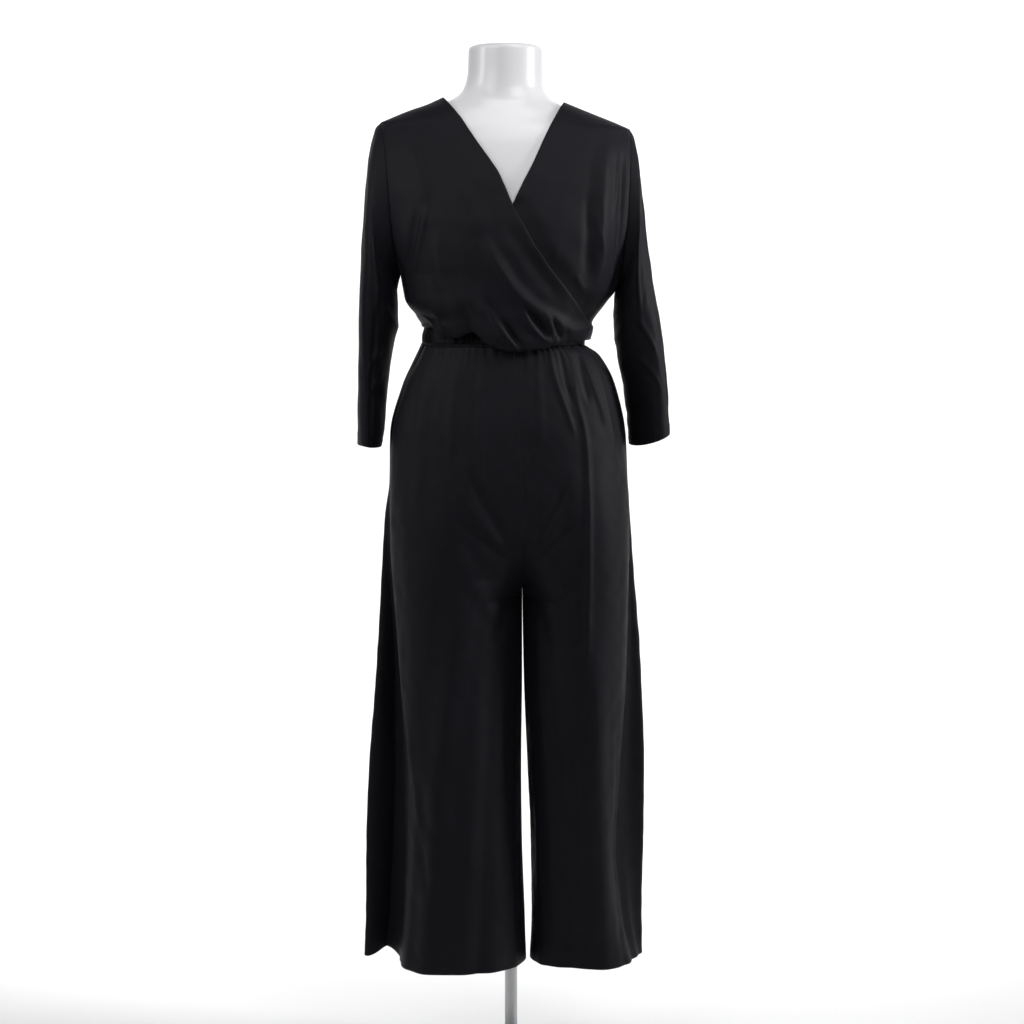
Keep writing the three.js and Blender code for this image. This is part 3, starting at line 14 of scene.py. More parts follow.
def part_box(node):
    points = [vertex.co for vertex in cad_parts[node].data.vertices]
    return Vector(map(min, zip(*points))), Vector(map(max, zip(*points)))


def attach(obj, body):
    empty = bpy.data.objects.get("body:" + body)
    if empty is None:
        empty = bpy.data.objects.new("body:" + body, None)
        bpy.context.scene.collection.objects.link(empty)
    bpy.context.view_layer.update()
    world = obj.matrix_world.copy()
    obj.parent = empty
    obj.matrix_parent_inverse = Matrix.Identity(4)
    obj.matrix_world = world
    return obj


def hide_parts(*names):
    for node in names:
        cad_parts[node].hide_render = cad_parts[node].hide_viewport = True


bl_info = {
    "name": "Wrap Jumpsuit on a Dress Form",
    "version": (1, 0, 0),
    "blender": (4, 5, 0),
    "location": "View3D > Sidebar > Jumpsuit",
    "description": "Builds a black wrap-front jumpsuit on a limbless dress form, with a stage and a camera",
    "category": "Add Mesh",
}

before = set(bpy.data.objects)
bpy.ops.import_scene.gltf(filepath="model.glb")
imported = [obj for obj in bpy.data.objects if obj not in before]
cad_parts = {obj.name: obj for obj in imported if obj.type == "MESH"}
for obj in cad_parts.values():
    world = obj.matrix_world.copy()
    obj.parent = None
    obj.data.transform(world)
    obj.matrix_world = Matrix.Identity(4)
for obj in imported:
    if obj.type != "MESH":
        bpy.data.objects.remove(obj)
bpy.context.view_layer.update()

# Sizes are in millimetres until a mesh is made
MM = 0.001


def table(columns, *rows):
    """A table's rows as dictionaries, from the names of its columns and the values of each row."""
    names = columns.split()
    return [dict(zip(names, row)) for row in rows]


def node_box(node):
    """Lowest and highest corner of a CAD node, in millimetres."""
    low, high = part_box(node)
    return np.array(low) / MM, np.array(high) / MM


HEM_Z = node_box("trouser_back_left")[0][2]
TROUSER_TOP_Z = node_box("trouser_back_left")[1][2]
CASING_BOTTOM_Z, CASING_TOP_Z = (node_box("waist_casing")[i][2] for i in (0, 1))
BODICE_SEAM_Z = CASING_TOP_Z + 0.3
CROTCH_Z = 740
CROTCH_CURVE_Z = 840
LOBE_TOP_Z = 960
SEAM_BACK = 24
CASING_HALF = {"right": 136, "left": 111, "front": 99, "back": 88}
CASING_ROUNDNESS = 2.05
BODY_ROUNDNESS = 2.2
MID_Y = 5
INSEAM_Y = 6
ARMHOLE_DEPTH = 66
SIDE_START_Z = {-1: 1160, 1: 1140}
RIM_TURN = 5 / 6
RIM_CLEARANCE = 5
RIM_LIFT = 2.8
TOP_CROWDING = 1.35
BACK_NECK_DROP = 17
UNDERARM_CLEARANCE = 13
KNEE_Z = 475
SLEEVE_LENGTH = 480
SLEEVE_RADIUS = 62
PLATE_HEIGHT = 9
BOSS_RADIUS = 19

# How far a hem stands out from the cloth above it, how far a piece's top edge sinks into its seam,
# and how far stitches lie from a hem's upper edge and above the cloth
HEM_STEP = 0.35
SEAM_DIP = 0.4
HEM_STITCH_INSET = 1.5
STITCH_LIFT = 0.12

# The hollow in front of the crotch, and the place where the right hem is lifted. at and width are
# shares of the way from the side seam to the inseam.
CROTCH_HOLLOW = {"x": 19, "z": 792, "radius": 40, "depth": 10}
HEM_NOTCH = {"at": 0.17, "width": 0.09, "rise": 9, "top": 300}

# Names of the sides, which are the wearer's, and of the facings
SIDE_NAMES = {-1: "right", 1: "left"}
FACING_NAMES = {-1: "front", 1: "back"}

# Counts of faces along and across each piece
LEG_COLUMNS = 120
LEG_ROWS = 216
ROLL_STEPS = 26
SIDE_STEPS = 14
ARMHOLE_STEPS = 56
FRONT_COLUMNS = 76
BACK_COLUMNS = 96
SLEEVE_ROWS = 116
CASING_COLUMNS = 420
CASING_ROWS = 14

# Gathers round the waist casing, and its two lines of stitches as shares of its height
CASING_GATHERS = 74
CASING_STITCH_LINES = (0.18, 0.82)

# Leg sections from the waist down. side is the outermost point, tuck the hollow behind the front
# fold and wall where the front starts to turn. front and back are the depth, middle the x of the
# foremost point and inner the x of the inseam or of the centre seam.
RIGHT_LEG_SIDE = table(
    "z side side_y tuck tuck_y wall wall_y",
    (1112, -134.5, 5, -132, -16, -127, -30),
    (1099, -141, 5, -138.5, -15.5, -133.5, -29.5),
    (1054, -162.5, 6, -160, -14, -156, -28),
    (979, -182, 8, -180, -12, -176.5, -26),
    (909, -183.5, 10, -182, -8, -180, -22),
    (855, -191, 12, -183, -2, -179, -20),
    (759, -197, 14, -181, 8, -174.5, -18),
    (623, -205, 15, -176, 18, -167, -18),
    (475, -217, 16, -176, 24, -160, -18),
    (367, -222.5, 16, -180, 27, -160, -18),
    (249, -224, 15, -186, 30, -164, -20),
    (177, -225.5, 14, -192, 32, -170, -22),
)
RIGHT_LEG_DEPTH = table(
    "z front back middle inner",
    (1112, -92.5, 92, 4, 4),
    (1099, -95, 94.5, 5, 5),
    (1054, -103, 102, 8, 8),
    (979, -110, 113, -10, 13),
    (909, -112, 117, -40, 18),
    (855, -110, 114, -62, 20),
    (759, -104, 108, -74, 17),
    (623, -98, 104, -74, 17),
    (475, -94, 101, -72, 15.7),
    (367, -93, 99, -72, 16.8),
    (249, -92, 97, -74, 21),
    (177, -92, 96, -76, 23),
)
LEFT_LEG_SIDE = table(
    "z side side_y tuck tuck_y wall wall_y",
    (1112, 111, 5, 109, -16, 104, -30),
    (1099, 131, 5, 128.5, -15, 124, -29),
    (1054, 156, 6, 153.5, -14, 149, -28),
    (979, 172.5, 8, 169, -10, 164.5, -24),
    (909, 176, 10, 173, -8, 171, -22),
    (855, 180, 14, 175, -2, 174, -20),
    (759, 187, 18, 176, 4, 173, -20),
    (623, 198, 22, 178, 8, 170.5, -18),
    (475, 205, 26, 176, 10, 161, -18),
    (367, 204.5, 28, 174, 8, 157, -16),
    (249, 201.5, 29, 182, 4, 168, -14),
    (177, 202, 30, 194, 4, 184, -16),
)
LEFT_LEG_DEPTH = table(
    "z front back middle inner",
    (1112, -92.5, 92, 4, 4),
    (1099, -95, 94.5, 5, 5),
    (1054, -103, 102, 8, 8),
    (979, -110, 113, 34, 13),
    (909, -110, 117, 66, 18),
    (855, -107, 114, 88, 20),
    (759, -99, 109, 98, 17),
    (623, -90, 106, 98, 19),
    (475, -80, 106, 96, 25),
    (367, -73, 108, 98, 30),
    (249, -66, 110, 108, 31.5),
    (177, -62, 110, 114, 29),
)
LEG_TABLES = {-1: (RIGHT_LEG_SIDE, RIGHT_LEG_DEPTH), 1: (LEFT_LEG_SIDE, LEFT_LEG_DEPTH)}

# Long folds that fall to the hem. at and foot are shares of the way from the side seam to the
# inseam, at the fold's top and at the hem. width is half its width and rise its height.
FALLING_FOLDS = {
    ("right", -1): table(
        "at foot top width rise",
        (0.60, 0.50, 820, 34, 6),
        (0.76, 0.70, 760, 26, -5),
        (0.36, 0.34, 700, 24, -3.5),
        (0.47, 0.42, 560, 20, 2.5),
        (0.88, 0.86, 690, 20, 2.5),
    ),
    ("left", -1): table(
        "at foot top width rise",
        (0.52, 0.48, 800, 30, 5),
        (0.74, 0.66, 760, 26, -4.5),
        (0.36, 0.36, 620, 16, -2.5),
        (0.86, 0.84, 700, 18, 2.5),
    ),
    ("right", 1): table(
        "at foot top width rise",
        (0.30, 0.28, 850, 32, 9),
        (0.47, 0.44, 800, 26, -7),
        (0.66, 0.60, 760, 32, 9),
        (0.14, 0.13, 700, 20, -3),
        (0.83, 0.80, 640, 22, -3),
    ),
    ("left", 1): table(
        "at foot top width rise",
        (0.24, 0.22, 850, 30, 10),
        (0.40, 0.38, 800, 26, -9),
        (0.56, 0.53, 780, 28, 10),
        (0.74, 0.68, 740, 26, -8),
        (0.90, 0.86, 640, 20, 3),
    ),
}

# Folds of the front seen from the front: the line that each follows, half its width, its height
# and how sharp its crest is, from 0 for round to 1 for a crease
TROUSER_FRONT_FOLDS = {
    "right": table(
        "line width rise crease",
        ([(-178, 930), (-176, 811), (-168, 697), (-157, 575), (-148, 500), (-139, 435),
          (-126, 330)], 13, 3.4, 0.75),
        ([(-147, 540), (-120, 460), (-84, 385), (-45, 330)], 30, 3.2, 0.2),
        ([(-110, 1100), (-128, 1030), (-136, 950), (-138, 860)], 17, 2.2, 0.3),
        ([(-72, 1106), (-84, 1030), (-90, 930)], 14, 1.8, 0.4),
        ([(-38, 1106), (-44, 1010), (-46, 900)], 13, 1.6, 0.4),
        ([(-62, 938), (-44, 893), (-16, 845), (8, 800)], 13, -2.4, 0.3),
        ([(-84, 864), (-60, 845), (-23, 813), (6, 790)], 13, -2.2, 0.3),
        ([(-72, 898), (-40, 850), (-10, 813)], 10, 1.2, 0.2),
        ([(-70, 768), (-40, 772), (-8, 784)], 13, -1.6, 0.2),
        ([(-132, 380), (-128, 340), (-122, 296)], 11, -2.4, 0.2),
        ([(-96, 840), (-62, 780), (-30, 730), (-4, 690)], 22, 2.4, 0.2),
        ([(6, 760), (-10, 715), (-26, 660)], 14, -3.0, 0.2),
    ),
    "left": table(
        "line width rise crease",
        ([(131, 1087), (146, 1045), (157, 1000), (166, 955), (170, 909), (174, 828), (172, 740),
          (171, 630), (165, 540), (160, 450), (157, 380), (156, 290)], 12, 3.2, 0.8),
        ([(86, 1100), (98, 1028), (108, 984), (112, 930), (114, 860), (114, 780), (113, 700),
          (112, 600)], 10, 4.4, 0.85),
        ([(104, 1112), (105, 1099), (117, 1063), (135, 1010), (140, 985)], 8, 3.2, 0.8),
        ([(52, 1116), (55, 1104), (65, 1063), (78, 1027), (90, 992), (94, 975)], 8, 3.0, 0.8),
        ([(96, 1112), (106, 1060), (116, 1024)], 7, -2.4, 0.4),
        ([(70, 1112), (80, 1060), (92, 1020)], 7, -2.2, 0.4),
        ([(119, 1104), (139, 1030), (150, 975), (154, 930)], 10, 2.0, 0.6),
        ([(38, 1104), (42, 1040), (46, 960)], 11, 1.4, 0.4),
        ([(86, 930), (71, 889), (50, 845), (30, 800)], 13, -2.2, 0.3),
        ([(96, 856), (70, 830), (32, 792)], 13, -2.0, 0.3),
        ([(88, 892), (62, 846), (36, 806)], 10, 1.1, 0.2),
        ([(104, 850), (78, 780), (56, 730), (44, 690)], 22, 2.2, 0.2),
        ([(28, 760), (44, 710), (56, 650)], 14, -2.6, 0.2),
    ),
}

# Edges of the bodice seen from the front: side seam, armhole and shoulder of each side
RIGHT_EDGE = table(
    "z x",
    (1139, -131), (1149, -130), (1159, -142), (1169, -152), (1180, -158.5), (1196, -161.5),
    (1216, -165), (1250, -171), (1300, -176), (1350, -180), (1400, -185), (1430, -190), (1441, -194),
)
LEFT_EDGE = table(
    "z x",
    (1139, 124), (1145, 121), (1156, 127), (1168, 136.5), (1180, 145.5), (1192, 155), (1240, 164),
    (1290, 170), (1340, 173), (1390, 175), (1420, 175.5), (1431, 176.5),
)
RIGHT_SHOULDER = table(
    "z x",
    (1441, -194), (1456, -157.5), (1467.5, -125), (1478, -101),
)
LEFT_SHOULDER = table(
    "z x",
    (1431, 176.5), (1440.5, 155), (1452, 126), (1471, 79),
)
ARMHOLES = {-1: (1216, 1441), 1: (1192, 1431)}

# How far the bodice stands from the side plane at its middle
BODICE_DEPTH = table(
    "z front back",
    (1100, 120, 98), (1139, 124, 101), (1200, 129, 103), (1250, 132, 99), (1290, 129, 95),
    (1312, 124.5, 94), (1341, 118, 94), (1361, 112, 93), (1385, 103, 92), (1412, 91, 89),
    (1441, 76, 82), (1460, 66, 75), (1478, 58, 67),
)

# The wrap edge of the overlap with its neckline, and the neckline of the underlap
OVERLAP_EDGE = table(
    "x z",
    (119, 1140), (113, 1149), (107, 1158), (94, 1177), (72.5, 1204), (53, 1229), (34, 1257), (19, 1285),
    (3, 1312), (-9, 1341), (-18, 1361.5), (-34, 1385.5), (-53, 1412), (-73, 1443), (-101, 1478),
)
UNDERLAP_EDGE = table(
    "x z",
    (-84, 1122), (-70, 1160), (-48, 1210), (-26, 1258), (3, 1312), (19, 1347), (32, 1373), (47.5, 1409),
    (59, 1434), (79, 1471),
)

# How far the blouson hangs below its seam, by place across
DROOP = {
    -1: table(
        "x drop",
        (-132, 1), (-122, 5), (-112, 11), (-104, 14.5), (-84, 16), (-70, 11), (-61, 9), (-50, 15),
        (-40, 23), (-28, 28.5), (-14, 33), (2, 35), (42, 32), (71, 26), (89, 23), (106, 21),
        (124, 19.05), (130, 19.05),
    ),
    1: table(
        "x drop",
        (-132, 0), (-118, 1), (-96, 9), (-40, 16), (20, 17), (88, 18), (106, 18.6), (124, 19.05),
        (130, 19.05),
    ),
}

OVERLAP_FOLDS = table(
    "line width rise crease",
    ([(-42, 1281), (-27, 1243), (-7, 1210), (19, 1178), (49, 1157), (79, 1140),
      (108, 1126)], 17, 6.5, 0.25),
    ([(-24, 1160), (-17, 1143), (-7, 1128), (7, 1110), (16, 1097)], 6, 5.6, 0.8),
    ([(-50, 1186), (-36, 1153), (-22, 1130), (-6, 1110)], 10, 3.4, 0.4),
    ([(12, 1172), (22, 1153), (33, 1137), (50, 1123), (66, 1112)], 6.5, 5.6, 0.7),
    ([(54, 1150), (61, 1132), (68, 1116), (72, 1106)], 5, 4.8, 0.8),
    ([(20, 1174), (33, 1153), (46, 1135), (56, 1116)], 7, -7.0, 0.3),
    ([(56, 1158), (66, 1138), (76, 1116)], 5.5, -6.5, 0.3),
    ([(-13, 1152), (0, 1130), (16, 1108)], 7, -6.5, 0.3),
    ([(78, 1140), (84, 1124), (88, 1112)], 5, -4.5, 0.3),
    ([(-35, 1182), (-22, 1161), (-11, 1139)], 7, -3.0, 0.3),
    ([(-16, 1300), (13, 1257), (49, 1207), (78, 1171)], 17, -2.2, 0.1),
    ([(-102, 1250), (-95, 1207), (-85, 1178), (-80, 1138)], 18, 2.6, 0.2),
    ([(-70, 1176), (-62, 1156), (-56, 1134)], 11, -3.0, 0.2),
    ([(-118, 1172), (-104, 1152), (-96, 1132)], 9, 3.0, 0.4),
    ([(-119, 1328), (-121, 1311), (-129, 1277), (-136, 1244), (-145, 1203),
      (-149, 1188)], 6.5, 3.6, 0.75),
    ([(-134, 1318), (-143, 1265), (-154, 1218)], 11, -4.5, 0.3),
    ([(-107, 1280), (-106, 1229), (-104, 1180)], 13, 2.2, 0.2),
    ([(-146, 1404), (-131, 1358), (-118, 1316)], 17, 2.8, 0.1),
    ([(-86, 1360), (-58, 1310), (-40, 1262)], 24, 2.0, 0.2),
)
UNDERLAP_FOLDS = table(
    "line width rise crease",
    ([(139, 1418), (136, 1394), (133, 1351), (131, 1294), (128, 1236), (125, 1179)], 22, 8.0, 0.15),
    ([(116, 1320), (119, 1308), (126, 1272), (134, 1239), (136, 1226)], 5, 1.8, 0.7),
    ([(161, 1400), (153, 1337), (145, 1280)], 5, 1.8, 0.6),
    ([(129, 1345), (129, 1280), (129, 1216)], 5, 1.5, 0.7),
    ([(164, 1402), (161, 1323), (156, 1236), (150, 1190)], 9, -4.5, 0.3),
    ([(110, 1340), (112, 1270), (110, 1210)], 13, -2.2, 0.2),
    ([(68, 1250), (64, 1238), (58, 1226)], 6, 2.2, 0.7),
    ([(94, 1216), (100, 1200), (108, 1186)], 8, 2.4, 0.6),
)
BACK_FOLDS = table(
    "line width rise crease",
    ([(-124, 1300), (-108, 1230), (-84, 1150)], 18, 5, 0.4),
    ([(114, 1300), (100, 1230), (78, 1150)], 18, 5, 0.4),
    ([(-60, 1262), (-50, 1205), (-40, 1130)], 14, 4, 0.5),
    ([(40, 1262), (36, 1205), (30, 1130)], 14, 4, 0.5),
    ([(-8, 1236), (-6, 1190), (-4, 1130)], 11, 3, 0.5),
    ([(-30, 1210), (-26, 1170), (-22, 1128)], 8, 2.4, 0.6),
    ([(18, 1205), (16, 1168), (14, 1128)], 8, 2.4, 0.6),
    ([(62, 1215), (56, 1176), (52, 1130)], 9, -3, 0.4),
    ([(-84, 1220), (-72, 1176), (-64, 1130)], 9, -3, 0.4),
    ([(-70, 1400), (-20, 1340), (40, 1320), (88, 1352)], 30, -2.4, 0.1),
    ([(-150, 1390), (-146, 1320), (-140, 1250)], 14, 3, 0.4),
    ([(140, 1380), (138, 1310), (132, 1240)], 14, 3, 0.4),
)

# Outer and inner edges of each sleeve seen from the front, from its head to the cuff
SLEEVE_OUTER = {
    -1: [
        (-194, 1441), (-201, 1434), (-207, 1412), (-212, 1387), (-216, 1348), (-219, 1307),
        (-222.4, 1259), (-225.5, 1195), (-227.2, 1130), (-228.2, 1078), (-229.4, 1028), (-230.5, 966),
    ],
    1: [
        (176.5, 1431), (182, 1422), (185, 1408), (186.5, 1393), (190.5, 1354), (197.4, 1291), (204, 1226),
        (210.8, 1178), (217.8, 1113), (222.8, 1070), (228, 1022), (233, 984),
    ],
}
SLEEVE_INNER = {
    -1: [
        (-165, 1216), (-170, 1195), (-169, 1162), (-168, 1140), (-172, 1128), (-178, 1103), (-183, 1064),
        (-187.4, 1025), (-190, 986), (-195, 961),
    ],
    1: [
        (155, 1192), (154, 1180), (152.5, 1156), (155, 1120), (161, 1087), (170, 1051), (177, 1010),
        (182, 963),
    ],
}
CUFF_DEPTH = {-1: 63, 1: 57}
SLEEVE_LEAN = {-1: 0, 1: -0.24}

# Folds of the sleeves. angle is in degrees from the outer edge towards the front and turn how far it
# winds on the way down. start and end are shares of the way to the cuff.
SLEEVE_FOLDS = {
    -1: table(
        "angle turn start end width rise crease",
        (62, 24, 0.04, 0.80, 12, 3.5, 0.5),
        (118, -10, 0.25, 1.1, 12, -3, 0.3),
        (92, 30, 0.10, 0.46, 9, 3.0, 0.6),
        (140, -46, 0.46, 0.72, 9, 2.6, 0.6),
        (150, -60, 0.58, 0.84, 8, 2.2, 0.6),
        (296, -20, 0.06, 0.85, 13, 3.5, 0.5),
        (244, 8, 0.30, 1.1, 12, -3, 0.3),
        (214, 50, 0.44, 0.74, 9, 2.6, 0.6),
    ),
    1: table(
        "angle turn start end width rise crease",
        (36, 16, 0.02, 1.1, 10, 3.4, 0.6),
        (64, -14, 0.10, 0.86, 9, -3.2, 0.4),
        (84, 18, 0.02, 0.50, 11, 3.6, 0.6),
        (112, -34, 0.36, 0.70, 9, 2.8, 0.6),
        (128, -48, 0.52, 0.82, 8, 2.4, 0.6),
        (296, -20, 0.06, 0.85, 13, 3.5, 0.5),
        (244, 8, 0.30, 1.1, 12, -3, 0.3),
        (204, 52, 0.40, 0.72, 9, 2.6, 0.6),
    ),
}

# Sections of the dress form. left and right are the wearer's.
FORM_SECTIONS = table(
    "z right left front back power",
    (845, -150, 142, -88, 92, 2.3),
    (853, -161, 153, -95, 98, 2.3),
    (875, -168, 161, -99, 103, 2.3),
    (915, -172, 165, -101, 106, 2.3),
    (965, -169, 160, -99, 103, 2.3),
    (1015, -160, 151, -95, 97, 2.2),
    (1060, -139, 126, -85, 85, 2.2),
    (1100, -122, 105, -79, 78, 2.2),
    (1125, -117, 99, -76, 76, 2.2),
    (1150, -117, 98, -78, 77, 2.2),
    (1190, -132, 119, -92, 84, 2.2),
    (1230, -147, 138, -107, 89, 2.2),
    (1270, -154, 145, -115, 90, 2.2),
    (1305, -158, 149, -114, 90, 2.2),
    (1340, -163, 154, -107.5, 90, 2.2),
    (1375, -170, 160, -97, 89, 2.2),
    (1405, -177, 165, -86, 86, 2.2),
    (1422, -182, 168, -78, 82, 2.2),
    (1432, -184, 158, -73, 79, 2.2),
    (1440, -180, 141, -68, 77, 2.2),
    (1449, -162, 118, -63, 74, 2.2),
    (1457, -138, 98, -59, 71, 2.2),
    (1465, -114, 78, -54, 67, 2.2),
    (1471, -97, 65, -51, 64, 2.15),
    (1479, -81, 56, -49, 62, 2.1),
    (1489, -71.5, 49.5, -47.5, 60.5, 2),
    (1502, -66.5, 46.8, -46.8, 60, 2),
    (1518, -64, 46.6, -46.5, 59.5, 2),
    (1546, -63, 46.6, -46.5, 59.5, 2),
    (1551, -61.5, 45.1, -45, 58, 2),
    (1553, -57, 40.6, -40.5, 53.5, 2),
)

# Area lamps, with places and sizes in metres, power in watts and the spread of the beam in degrees
CHEST = (0, 0, 1.45)
LAMPS = table(
    "name place target size watts spread",
    ("key", (1.15, -1.9, 2.75), CHEST, (1.3, 1.0), 4.0, 75),
    ("fill", (-1.35, -2.0, 2.5), CHEST, (1.3, 1.2), 3.6, 75),
    ("top", (0.15, -0.85, 3.1), CHEST, (1.3, 0.7), 2.2, 75),
    ("side_right", (-2.1, -0.7, 1.9), CHEST, (0.6, 1.5), 7, 110),
    ("side_left", (2.3, -0.35, 1.7), (0.1, 0, 1.3), (0.4, 1.2), 16, 100),
    ("backdrop_light", (0, 0.7, 3.0), (0, 4.0, 1.6), (5.0, 1.0), 190, 180),
)


# What a user of the add-on can change


class ClothSettings(bpy.types.PropertyGroup):
    """Sizes of the sewn jersey."""

    thickness: FloatProperty(
        name="Cloth Thickness", description="Thickness of one layer of jersey",
        default=0.001, min=0.0004, max=0.0016, unit="LENGTH")
    hem: FloatProperty(
        name="Trouser Hem", description="Depth of the turned-up hem of each leg",
        default=0.022, min=0.01, max=0.04, unit="LENGTH")
    cuff: FloatProperty(
        name="Cuff Hem", description="Depth of the turned-up hem of each sleeve",
        default=0.018, min=0.01, max=0.03, unit="LENGTH")
    neck: FloatProperty(
        name="Neckline Turning", description="Depth of the turned-in edge of the neckline",
        default=0.009, min=0.005, max=0.015, unit="LENGTH")
    turning: FloatProperty(
        name="Seam Turning", description="How far the cloth turns in at a seam",
        default=0.0032, min=0.001, max=0.005, unit="LENGTH")
    folds: FloatProperty(
        name="Fold Strength", description="Height of all folds against their measured height",
        default=1.0, min=0.0, max=1.3, subtype="FACTOR")
    gathers: IntProperty(
        name="Waist Gathers",
        description="Number of small gathers that leave the waist on each trouser panel",
        default=19, min=4, max=40)


class StitchSettings(bpy.types.PropertyGroup):
    """Sizes of the stitches."""

    length: FloatProperty(
        name="Stitch Length", description="Length of one stitch",
        default=0.0024, min=0.001, max=0.005, unit="LENGTH")
    pitch: FloatProperty(
        name="Stitch Pitch", description="Distance from one stitch to the next",
        default=0.0031, min=0.0015, max=0.006, unit="LENGTH")
    thread: FloatProperty(
        name="Thread", description="Diameter of the thread",
        default=0.0005, min=0.0002, max=0.001, unit="LENGTH")


class FinishSettings(bpy.types.PropertyGroup):
    """Colours and gloss of the jersey, the form and the stand."""

    jersey: FloatVectorProperty(
        name="Jersey", description="Colour of the cloth", subtype="COLOR",
        size=3, min=0, max=1, default=(0.0034, 0.0031, 0.0052))
    jersey_light: FloatVectorProperty(
        name="Jersey Wales", description="Colour of the cloth where its knit catches the light",
        subtype="COLOR", size=3, min=0, max=1, default=(0.0062, 0.0057, 0.0092))
    sheen_tint: FloatVectorProperty(
        name="Sheen Tint", description="Colour of the nap's sheen", subtype="COLOR",
        size=3, min=0, max=1, default=(0.80, 0.79, 0.92))
    sheen: FloatProperty(
        name="Sheen", description="Strength of the nap's sheen", default=0.02, min=0, max=1, subtype="FACTOR")
    form: FloatVectorProperty(
        name="Form", description="Colour of the dress form", subtype="COLOR",
        size=3, min=0, max=1, default=(0.63, 0.625, 0.64))
    form_gloss: FloatProperty(
        name="Form Roughness", description="Roughness of the dress form", default=0.33, min=0, max=1,
        subtype="FACTOR")
    steel: FloatVectorProperty(
        name="Steel", description="Colour of the pole and the plate", subtype="COLOR",
        size=3, min=0, max=1, default=(0.46, 0.465, 0.48))


class StageSettings(bpy.types.PropertyGroup):
    """The plain stage, its light and the camera."""

    backdrop: FloatVectorProperty(
        name="Backdrop", description="Colour of the floor and backdrop", subtype="COLOR",
        size=3, min=0, max=1, default=(0.93, 0.93, 0.93))
    light: FloatProperty(
        name="Studio Light", description="Power of all lamps against their drawn power",
        default=1.0, min=0.1, max=4.0, subtype="FACTOR")
    distance: FloatProperty(
        name="Camera Distance", description="Distance from the camera to the garment's middle plane",
        default=3.2, min=1.0, max=8.0, unit="LENGTH")
    height: FloatProperty(
        name="Camera Height", description="Height of the camera above the floor",
        default=1.142, min=0.2, max=2.5, unit="LENGTH")
    pitch: FloatProperty(
        name="Camera Pitch", description="How far the camera looks down",
        default=math.radians(5), min=-0.5, max=0.8, subtype="ANGLE")
    lens: FloatProperty(
        name="Lens", description="Focal length", default=75, min=20, max=200, subtype="DISTANCE_CAMERA")


# Curves through a table


def slopes(keys, values):
    secants = np.diff(values) / np.diff(keys)
    middle = np.zeros(len(keys))
    product = secants[:-1] * secants[1:]
    total = secants[:-1] + secants[1:]
    middle[1:-1] = np.where(product > 0, 2 * product / np.where(total == 0, 1, total), 0)
    middle[0] = secants[0]
    middle[-1] = secants[-1]
    return middle


def column(table, key, name, at):
    """A named column of a table at any place along its key column, smooth and without overshoot."""
    rows = sorted(table, key=lambda row: row[key])
    keys = np.array([row[key] for row in rows], float)
    values = np.array([row[name] for row in rows], float)
    slope = slopes(keys, values)
    at = np.clip(at, keys[0], keys[-1])
    i = np.clip(np.searchsorted(keys, at, side="right") - 1, 0, len(keys) - 2)
    span = keys[i + 1] - keys[i]
    t = (at - keys[i]) / span
    t2, t3 = t * t, t * t * t
    start = values[i] * (2 * t3 - 3 * t2 + 1) + slope[i] * span * (t3 - 2 * t2 + t)
    return start + values[i + 1] * (3 * t2 - 2 * t3) + slope[i + 1] * span * (t3 - t2)


def mix(a, b, t):
    return a + (b - a) * t


def smooth(value, low, high):
    t = np.clip((value - low) / (high - low), 0, 1)
    return t * t * (3 - 2 * t)


def power(value, exponent):
    return np.sign(value) * np.abs(value) ** exponent


def bezier(a, b, c, d, t):
    s = 1 - t
    return s**3 * a + 3 * s * s * t * b + 3 * s * t * t * c + t**3 * d


def curve(a, b, c, d, steps, end=1.0):
    """Points of a curve, without its last one, which begins the curve that follows."""
    return bezier(a, b, c, d, (np.linspace(0, 1, steps, endpoint=False) * end)[:, None])


def arc_points(points, shares):
    """Points at shares of a line's length."""
    points = np.asarray(points, float)
    lengths = np.concatenate([[0], np.cumsum(np.linalg.norm(np.diff(points, axis=0), axis=1))])
    at = np.asarray(shares, float) * lengths[-1]
    return np.stack([np.interp(at, lengths, points[:, k]) for k in range(points.shape[1])], axis=-1)


def smooth_line(points, steps=14):
    """A round curve through a few points."""
    points = np.asarray(points, float)
    keys = np.concatenate([[0], np.cumsum(np.linalg.norm(np.diff(points, axis=0), axis=1))])
    rows = [dict(s=keys[i], a=points[i, 0], b=points[i, 1]) for i in range(len(points))]
    at = np.linspace(0, keys[-1], steps * (len(points) - 1) + 1)
    return np.stack([column(rows, "s", "a", at), column(rows, "s", "b", at)], axis=-1)


# Folds


def crest(distance, width, crease):
    """Height of a fold at a distance from its line: a round swell mixed with a pointed crease."""
    d = np.clip(np.abs(distance) / width, 0, 1)
    swell = 0.5 + 0.5 * np.cos(math.pi * d)
    point = (1 - d) ** 2.4
    return mix(swell, point, crease)


def line_folds(folds, x, z):
    """Height of all folds drawn as lines in the front view."""
    total = np.zeros_like(x)
    for fold in folds:
        line = smooth_line(fold["line"], 6)
        best = np.full(x.shape, 1e9)
        along = np.zeros_like(x)
        count = len(line) - 1
        for i in range(count):
            a, b = line[i], line[i + 1]
            step = b - a
            t = np.clip(((x - a[0]) * step[0] + (z - a[1]) * step[1]) / (step @ step), 0, 1)
            distance = np.hypot(x - a[0] - t * step[0], z - a[1] - t * step[1])
            nearer = distance < best
            best = np.where(nearer, distance, best)
            along = np.where(nearer, (i + t) / count, along)
        taper = smooth(along, 0, 0.28) * smooth(1 - along, 0, 0.22)
        total += fold["rise"] * crest(best, fold["width"] * mix(0.75, 1.0, taper), fold["crease"]) * taper
    return total


